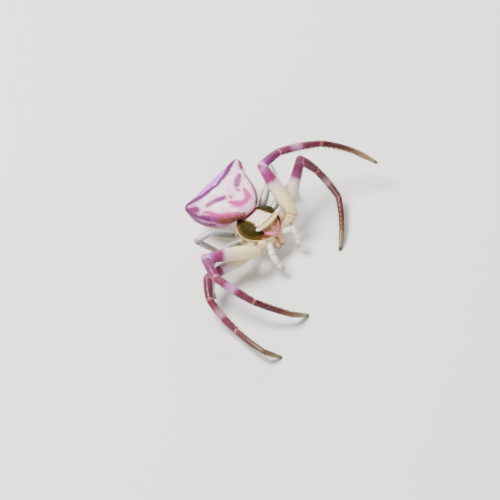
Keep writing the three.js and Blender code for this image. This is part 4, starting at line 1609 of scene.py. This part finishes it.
@dataclass
class Spinnerets(Fitting):
    """Six short jointed spinnerets on the low mound at the end of the body, three to a side."""

    pairs: tuple = (
        ((0.15, 4.95, 1.36), (0.19, 5.20, 0.99), 0.145),
        ((0.09, 5.12, 1.42), (0.09, 5.34, 1.15), 0.085),
        ((0.17, 5.22, 1.52), (0.19, 5.52, 1.26), 0.125),
    )
    profile: tuple[tuple[float, float], ...] = (
        (-0.40, 0.92), (0.00, 1.00), (0.28, 1.02), (0.34, 0.97), (0.38, 0.88), (0.43, 0.94), (0.56, 0.92),
        (0.70, 0.84), (0.75, 0.72), (0.80, 0.76), (0.90, 0.66), (0.97, 0.48), (1.00, 0.26),
    )
    spigot: tuple[tuple[float, float], ...] = ((-0.3, 0.012), (0.2, 0.011), (0.6, 0.007), (1.0, 0.003))
    spigot_count: int = 7

    def build(self) -> None:
        """Models the six and joins them into one piece."""
        parts = []
        for side in Side:
            for root, tip, radius in self.pairs:
                parts += self._one(side.mirror(root), side.mirror(tip), radius)
        piece = Bench.join(parts, "spinneret_cones")
        Bench.dress(piece, SPINNERET_WALL)
        self.size.finish(piece, "spinnerets", ("spinnerets",))

    def _one(self, root: Vector, tip: Vector, radius: float) -> list[Object]:
        """Models one spinneret and the fine spigots on its end.

        Args:
            root: where it leaves the mound.
            tip: its end.
            radius: its half width at the root.

        Returns:
            The cone and its spigots.
        """
        length = (tip - root).length
        frame = Matrix.Translation(root) @ (tip - root).to_track_quat("Z", "Y").to_matrix().to_4x4()
        cone = Loft.turned(self.profile, 24, length, radius).build("cone")
        Bench.apply(cone, "SUBSURF", **FINER)
        Bench.paint(cone, "along", np.clip(Bench.points(cone)[:, 2] / length, 0, 1))
        parts = [Bench.place(cone, frame)]
        for i in range(self.spigot_count):
            turn = 2 * math.pi * i / self.spigot_count
            x, y = radius * 0.42 * math.cos(turn), radius * 0.42 * math.sin(turn)
            rows = [(x * (1 + z), y * (1 + z), length * 0.95 + z * 0.055, r, r) for z, r in self.spigot]
            spigot = Loft(rows, sides=6).build("spigot")
            Bench.paint(spigot, "along", np.ones(len(spigot.data.vertices)))
            parts.append(Bench.place(spigot, frame))
        return parts


@dataclass
class Fangs(Fitting):
    """The two fangs, folded in under the chelicerae."""

    root: Place = (0.25, -1.24, 1.28)
    tip: Place = (0.06, -1.14, 1.02)
    radii: Place = (0.085, 0.066, 0.014)
    bow: float = 0.035

    def build(self) -> None:
        """Models each fang as a curved, tapered horn."""
        for side in Side:
            root, tip, outer = (side.mirror(place) for place in (self.root, self.tip, (1, -0.4, -0.5)))
            fang = Limb(root, tip, self.radii, 0.2, self.bow, outer, Region.CHELICERA).build(steps=10)
            Bench.apply(fang, "SUBSURF", **FINER)
            fang.name = fang.data.name = f"fang_{side.name.lower()}"
            Bench.dress(fang, FANG_HORN)
            self.size.finish(fang, "chelicera")


@dataclass
class Claws(Fitting):
    """Two small hooked claws at the tip of each tarsus."""

    length: float = 0.13
    thick: float = 0.026
    curl: float = 75.0
    spread: float = 20.0
    apart: float = 0.03
    past_tip: float = 0.07
    steps: int = 8

    def model(self) -> Object:
        """Models one claw along +Z that curls towards -X.

        Returns:
            The claw.
        """
        rows = []
        reach = self.length / math.radians(self.curl)
        for share in (i / self.steps for i in range(self.steps + 1)):
            turn = math.radians(self.curl) * share
            radius = self.thick * (1 - 0.9 * share**1.3)
            rows.append((-reach * (1 - math.cos(turn)), 0.0, reach * math.sin(turn), radius, radius * 0.7))
        claw = Loft(rows, sides=8).build("claw")
        Bench.apply(claw, "SUBSURF", **FINER)
        return claw

    def build(self, legs: list[Leg]) -> None:
        """Sets two copies at each tip, a little apart.

        Args:
            legs: the eight legs.
        """
        first = self.model()
        copies = []
        for leg in legs:
            tarsus = leg.limbs[-1]
            frame = tarsus.frame()
            for way in (-1, 1):
                turn = Matrix.Rotation(math.radians(self.spread * way), 4, "X")
                start = Matrix.Translation((0.02, self.apart * way, tarsus.length() + self.past_tip))
                claw = Bench.place(Bench.copy(first), frame @ start @ turn)
                points = Bench.points(claw)
                points[:, 2] = np.maximum(points[:, 2], FLOOR_CLEARANCE)
                Bench.set_points(claw, points)
                copies.append(claw)
        bpy.data.objects.remove(first)
        claws = Bench.join(copies, "leg_claws")
        Bench.dress(claws, FANG_HORN)
        self.size.finish(claws, "tarsus")


@dataclass
class Bristles(Fitting):
    """Stout bristles: pairs under the tibia and metatarsus of the front legs, and a few on the face."""

    length: float = 0.36
    thick: float = 0.019
    splay: float = 32.0
    tibia_pairs: Row = (0.46, 0.60, 0.74, 0.88)
    metatarsus_pairs: Row = (0.14, 0.28, 0.42, 0.56, 0.70, 0.84)
    face: tuple = (
        (0.10, -0.80, 2.22), (0.32, -0.78, 2.22), (0.55, -0.74, 2.20), (0.78, -0.66, 2.18),
        (0.20, -0.46, 2.88), (0.55, -0.34, 3.02), (0.90, -0.26, 3.06),
    )
    back: tuple = (
        (0.62, 0.62, 3.12), (0.98, 0.86, 2.92), (1.22, 0.42, 2.86), (0.52, 1.12, 2.98), (1.05, 1.34, 2.66),
    )
    profile: tuple = (
        (-0.05, 1.2), (0.0, 1.9), (0.035, 1.8), (0.05, 1.0), (0.3, 0.95), (0.6, 0.72), (0.85, 0.42),
        (1.0, 0.12),
    )

    def model(self) -> Object:
        """Models one bristle of length 1 along +Z with its low socket, bent a little towards +X."""
        width = self.thick / self.length
        rows = [(0.07 * z * z, 0.0, z, r * width, r * width) for z, r in self.profile]
        return Loft(rows, sides=7).build("bristle")

    def build(self, legs: list[Leg], shield: Object) -> None:
        """Sets the bristles of the legs and of the shield.

        Args:
            legs: the eight legs.
            shield: the shield, still in millimetres.
        """
        first = self.model()
        self._finish(self._on_legs(first, legs), "leg_bristles", "tibia")
        self._finish(self._on_shield(first, shield), "face_bristles", "carapace")
        bpy.data.objects.remove(first)

    def _finish(self, copies: list[Object], name: str, slot: str) -> None:
        """Joins copies into one piece and dresses it."""
        piece = Bench.join(copies, name)
        Bench.dress(piece, BRISTLE_HORN)
        self.size.finish(piece, slot)

    def _on_legs(self, first: Object, legs: list[Leg]) -> list[Object]:
        """Sets pairs under the tibia and metatarsus of the first two pairs of legs.

        Args:
            first: the bristle of length 1.
            legs: the eight legs.

        Returns:
            The bristles.
        """
        copies = []
        for leg in (leg for leg in legs if leg.row < 2):
            for limb, shares in ((leg.limbs[4], self.tibia_pairs), (leg.limbs[5], self.metatarsus_pairs)):
                for share in shares:
                    radius = float(limb.radius_at(np.array(share))) * INSIDE
                    for way in (-1, 1):
                        around = math.pi + math.radians(self.splay) * way
                        out = Vector((math.cos(around), math.sin(around), 0.0))
                        lean = (out + Vector((0, 0, 1.5))).normalized()
                        root = out * radius + Vector((limb.centre(share), 0, share * limb.length()))
                        copies.append(self._copy(first, limb.frame(), root, lean, out, self.length))
        return copies

    def _on_shield(self, first: Object, shield: Object) -> list[Object]:
        """Sets bristles where the shield's surface is nearest to each place, on both sides.

        Args:
            first: the bristle of length 1.
            shield: the shield, still in millimetres.

        Returns:
            The bristles.
        """
        tree = SkinBuilder.tree(shield)
        copies = []
        for places, size, way in ((self.face, 0.19, (0, -1, 0.35)), (self.back, 0.13, (0, 0.8, 0.5))):
            for place in places:
                for side in Side:
                    root, normal, _, _ = tree.find_nearest(side.mirror(place))
                    lean = (normal * 0.9 + Vector(way)).normalized()
                    copies.append(self._copy(first, Matrix.Identity(4), root, lean, -normal, size))
        return copies

    @staticmethod
    def _copy(
        first: Object, frame: Matrix, root: Vector, lean: Vector, bent_to: Vector, length: float
    ) -> Object:
        """Sets one copy of the bristle.

        Args:
            first: the bristle of length 1.
            frame: the frame that the next three are in.
            root: where it grows.
            lean: the way it points.
            bent_to: the way its tip bends from.
            length: how long it is.

        Returns:
            The copy.
        """
        z = lean.normalized()
        x = (-bent_to - z * (-bent_to).dot(z)).normalized()
        turn = Matrix((x, z.cross(x), z)).transposed().to_4x4()
        seat = frame @ Matrix.Translation(root) @ turn @ Matrix.Scale(length, 4)
        return Bench.place(Bench.copy(first), seat)


@dataclass(frozen=True)
class Setae:
    """How the fine hairs of one region grow."""

    per_mm2: float
    length: float
    width: float = 0.011
    lift: float = 32.0
    droop: float = 14.0


SETAE = {
    Region.ABDOMEN: Setae(22, 0.13, 0.010, 30, 12),
    Region.WAIST: Setae(30, 0.13),
    Region.BREAST: Setae(26, 0.14),
    Region.CHELICERA: Setae(40, 0.16),
    Region.PALP: Setae(70, 0.20, 0.011, 38),
    Region.FRONT_LEG: Setae(52, 0.19, 0.011, 30),
    Region.SECOND_LEG: Setae(52, 0.19, 0.011, 30),
    Region.HIND_LEG: Setae(55, 0.17, 0.011, 32),
}
CLAW_TUFT = Setae(320, 0.12, 0.013, 40, 24)


@dataclass
class Coat(Fitting):
    """Fine hairs over the skin: curved three-sided slivers that lean along the lie of each region."""

    skin: SkinBuilder
    body: Object
    seed: int = 11
    patch: float = 0.003
    tiles_across: int = 10
    abdomen_band: float = 0.34
    tuft_from: float = 5.88
    root_depth: float = 0.012
    length_spread: tuple[float, float] = (0.6, 0.7)
    lift_spread: float = 16.0
    sway: float = 0.7
    jitter: float = 0.6
    taper: tuple[float, float] = (0.60, 0.42)
    sliver: tuple = ((2, 1, 0), (0, 1, 4, 3), (1, 2, 5, 4), (2, 0, 3, 5), (3, 4, 6), (4, 5, 6), (5, 3, 6))
    carried: tuple[str, ...] = (
        "purple", "mauve", "pink", "wine", "rust", "rear", "under", "flank", "fold", "along", "top",
        "furrow", "plate", "lung", "dusk", "pits", "suture",
    )

    def build(self) -> None:
        """Grows the hairs of the body and legs, then the dense tufts under the claws."""
        draw = np.random.default_rng(self.seed)
        self.first = Bench.first_points(self.body)
        self.slot = Bench.read(self.body.data.polygons, "material_index", kind=int)
        self._grow(draw, "fine_setae", SETAE)
        self._grow(draw, "claw_tufts", {region: CLAW_TUFT for region in Region}, self.tuft_from)

    def _roots(self, draw: np.random.Generator, density: Array, tips_from: float) -> tuple[Array, Array]:
        """Spreads roots over the skin by area and density.

        Args:
            draw: the seeded draw.
            density: hairs to a square millimetre on each face.
            tips_from: how far along its leg a root stands at least, or 0 for anywhere on the skin.

        Returns:
            The roots, and the face that each stands on.
        """
        polygons = self.body.data.polygons
        expected = Bench.read(polygons, "area") * density
        if tips_from:
            expected *= (self.slot >= Region.FRONT_LEG.value) & (self.skin.along[self.first] > tips_from)
        faces = np.flatnonzero(draw.random(len(polygons)) < expected)
        jitter = (draw.random((len(faces), 3)) - 0.5) * SKIN_VOXEL * self.jitter
        return Bench.read(polygons, "center", 3)[faces] + jitter, faces

    def _lie(self, faces: Array, normals: Array) -> Array:
        """Gives the way that the hair lies at each root: down the limbs, and to the rear on the body.

        Args:
            faces: the faces that hairs stand on.
            normals: the skin's normals there.

        Returns:
            Unit rows that lie in the skin.
        """
        ways = [tuple((limb.end - limb.start).normalized()) for limb in self.skin.limbs] + [(0, 1.0, -0.35)]
        way = np.array(ways)[self.skin.limb_of[self.first[faces]]]
        return self._unit(way - (way * normals).sum(1)[:, None] * normals)

    @staticmethod
    def _unit(rows: Array) -> Array:
        """Gives rows the length 1."""
        return rows / np.maximum(np.linalg.norm(rows, axis=1), TINY)[:, None]

    def _grow(
        self, draw: np.random.Generator, name: str, kinds: dict[Region, Setae], tips_from: float = 0.0
    ) -> None:
        """Makes the hairs of one piece as slivers with a root, a bend and a tip.

        Args:
            draw: the seeded draw.
            name: the piece's name.
            kinds: how the hairs of each region grow.
            tips_from: how far along its leg a root stands at least, or 0 for anywhere on the skin.
        """
        # One row for each face: hairs to a square millimetre, length, width, lift and droop
        kind = np.array([astuple(kinds[region]) for region in Region])[self.slot]
        roots, faces = self._roots(draw, kind[:, 0], tips_from)
        normals = Bench.read(self.body.data.polygons, "normal", 3)[faces]
        _, length, width, lift, droop = kind[faces].T[..., None]
        shortest, spread = self.length_spread
        length = length * (shortest + spread * draw.random(len(roots)))[:, None]
        lift = np.radians(lift + self.lift_spread * (draw.random(len(roots)) - 0.5)[:, None])
        droop = np.radians(droop)
        lie = self._lie(faces, normals)
        sway = (draw.random(len(roots)) - 0.5)[:, None] * self.sway
        lie = self._unit(lie + np.cross(normals, lie) * sway)
        rise = normals * np.sin(lift) + lie * np.cos(lift)
        fall = normals * np.sin(lift - droop) + lie * np.cos(lift - droop)
        base = roots - normals * self.root_depth
        bend = base + rise * length / 2
        across = self._unit(np.cross(rise, normals))
        third = np.cross(rise, across)
        rows = np.empty((len(roots), 7, 3))
        for i in range(3):
            turn = 2 * math.pi * i / 3
            out = (across * math.cos(turn) + third * math.sin(turn)) * width
            rows[:, i], rows[:, 3 + i] = base + out * self.taper[0], bend + out * self.taper[1]
        rows[:, 6] = bend + fall * length / 2
        rows[:, :, 2] = np.maximum(rows[:, :, 2], FLOOR_CLEARANCE)
        polygons = [tuple(7 * k + c for c in face) for k in range(len(roots)) for face in self.sliver]
        hair = bpy.data.meshes.new(name)
        hair.from_pydata(rows.reshape(-1, 3).tolist(), [], polygons)
        hair.update()
        obj = Bench.add(name, hair)
        Bench.dress(obj, *(replace(finish, hair=True) for finish in SKIN_FINISHES.values()))
        slot, first = self.slot[faces], self.first[faces]
        hair.polygons.foreach_set("material_index", np.repeat(slot, len(self.sliver)).astype(np.int32))
        for mask in self.carried:
            values = Bench.read(self.body.data.attributes[mask].data, "value")[first]
            Bench.paint(obj, mask, np.repeat(values, 7))
        self._unwrap(obj, first, slot)
        self.size.finish(obj, "femur")

    def _unwrap(self, obj: Object, first: Array, slot: Array) -> None:
        """Maps each hair to a small patch at its root's place on an unwrap of the skin.

        The abdomen and the plates under the body have a band each, and every limb a tile of its own. The
        share along it runs across the tile and the share of a turn around it up the tile.

        Args:
            obj: the hairs.
            first: the skin's point at each root.
            slot: the region that each root is in.
        """
        limb = self.skin.limb_of[first]
        share, turn = self.skin.share[first], self.skin.turn[first]
        rows = math.ceil(len(self.skin.limbs) / self.tiles_across)
        tile_high = (1 - self.abdomen_band) / (rows + 1)
        column, row = limb % self.tiles_across, limb // self.tiles_across
        on_limb = limb >= 0
        abdomen = slot == Region.ABDOMEN.value
        u = np.where(on_limb, (column + 0.06 + 0.88 * share) / self.tiles_across, 0.02 + 0.96 * share)
        body_low = np.where(abdomen, 0.0, self.abdomen_band)
        body_high = np.where(abdomen, self.abdomen_band, tile_high)
        limb_low = self.abdomen_band + tile_high * (row + 1)
        on_body = body_low + body_high * (0.04 + 0.92 * turn)
        v = np.where(on_limb, limb_low + tile_high * (0.06 + 0.88 * turn), on_body)
        hair, part = np.divmod(Bench.read(obj.data.loops, "vertex_index", kind=int), 7)
        corners = np.array([(-1, -1), (1, -1), (0, -0.6), (-1, 0.4), (1, 0.4), (0, 0.5), (0, 1)])
        layer = obj.data.uv_layers.new(name="OFBake")
        uv = np.stack([u[hair], v[hair]], -1) + corners[part] * self.patch / 2
        layer.data.foreach_set("uv", uv.astype(np.float32).ravel())


@dataclass
class Studio(Fitting):
    """A pale floor, soft lights and the camera, set from the body's frame."""

    camera_at: Place = (-103.396, -79.218, 154.990)
    camera_aim: Place = (-2.091, -0.070, 1.781)
    lens: float = 201.6
    floor_radius: float = 0.30
    floor_edge: float = 0.004
    light_aim: Place = (0, 1, 1)
    surround: tuple[str, float] = ("#EEF1F4", 0.31)
    lights: tuple = (
        ("key_light", (-40, 60, 150), 75, 0.66, "#FFFDF8"),
        ("fill_light", (-120, -100, 70), 140, 0.16, "#F2F5FF"),
        ("rim_light", (110, 60, 70), 80, 0.14, "#FFFFFF"),
    )

    def floor(self) -> None:
        """Models a round sheet of pale card with a softened edge."""
        floor = Bench.disc("studio_floor", 96, self.floor_radius)
        Bench.edit(floor)
        bpy.ops.mesh.inset(thickness=self.floor_edge, depth=0)
        bpy.ops.object.mode_set(mode="OBJECT")
        Bench.dress(floor, FLOOR_CARD)

    def light(self) -> None:
        """Sets the soft lights and an even pale surround."""
        for name, place, width, power, colour in self.lights:
            lamp = bpy.data.lights.new(name, "AREA")
            lamp.shape = "DISK"
            lamp.size = width * LIFE_SIZE
            lamp.energy = power
            lamp.color = srgb(colour)[:3]
            self._aim(Bench.add(name, lamp), place, self.light_aim)
        world = bpy.data.worlds.new("pale_surround")
        world.use_nodes = True
        background = world.node_tree.nodes["Background"]
        background.inputs["Color"].default_value = srgb(self.surround[0])
        background.inputs["Strength"].default_value = self.surround[1]
        bpy.context.scene.world = world

    def camera(self) -> None:
        """Sets a long lens at the photograph's angle."""
        data = bpy.data.cameras.new("long_lens")
        data.lens = self.lens
        data.sensor_width = 36.0
        data.clip_start, data.clip_end = 0.01, 5.0
        camera = Bench.add("camera", data)
        self._aim(camera, self.camera_at, self.camera_aim)
        bpy.context.scene.camera = camera

    def _aim(self, obj: Object, place: Row, aim: Row) -> None:
        """Sets a lamp or camera at one point of the body's frame and turns it to another."""
        obj.location = self.size.place(place)
        obj.rotation_euler = (self.size.place(aim) - obj.location).to_track_quat("-Z", "Y").to_euler()


def node_names(frame: dict, stems: tuple[str, ...]) -> tuple[str, ...]:
    """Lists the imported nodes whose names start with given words."""
    return tuple(sorted(name for name in frame["nodes"] if name.startswith(stems)))


def main() -> None:
    """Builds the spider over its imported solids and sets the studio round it."""
    logging.basicConfig(level=logging.INFO, format="%(message)s")
    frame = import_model()
    Bench.clear()
    size = LifeSize()
    legs = [Leg(row, side) for row in range(4) for side in Side]
    studio = Studio(size)
    studio.camera()
    studio.light()
    builder = SkinBuilder(legs, Mouthparts(), Underside(), Abdomen())
    skin = builder.build()
    Bench.dress(skin, *SKIN_FINISHES.values())
    Coat(size, builder, skin).build()
    shield = Shield().build(builder.abdomen_tree)
    Bench.dress(shield, SHIELD_CUTICLE)
    Bristles(size).build(legs, shield)
    Claws(size).build(legs)
    Fangs(size).build()
    Eyes(size).build(shield)
    Spinnerets(size).build()
    size.finish(skin, "abdomen", node_names(
        frame, ("abdomen", "pedicel", "spinnerets", "sternum", "chelicera", "palp", "leg")
    ))
    size.finish(shield, "carapace", ("carapace",))
    studio.floor()


if __name__ == "__main__":
    main()
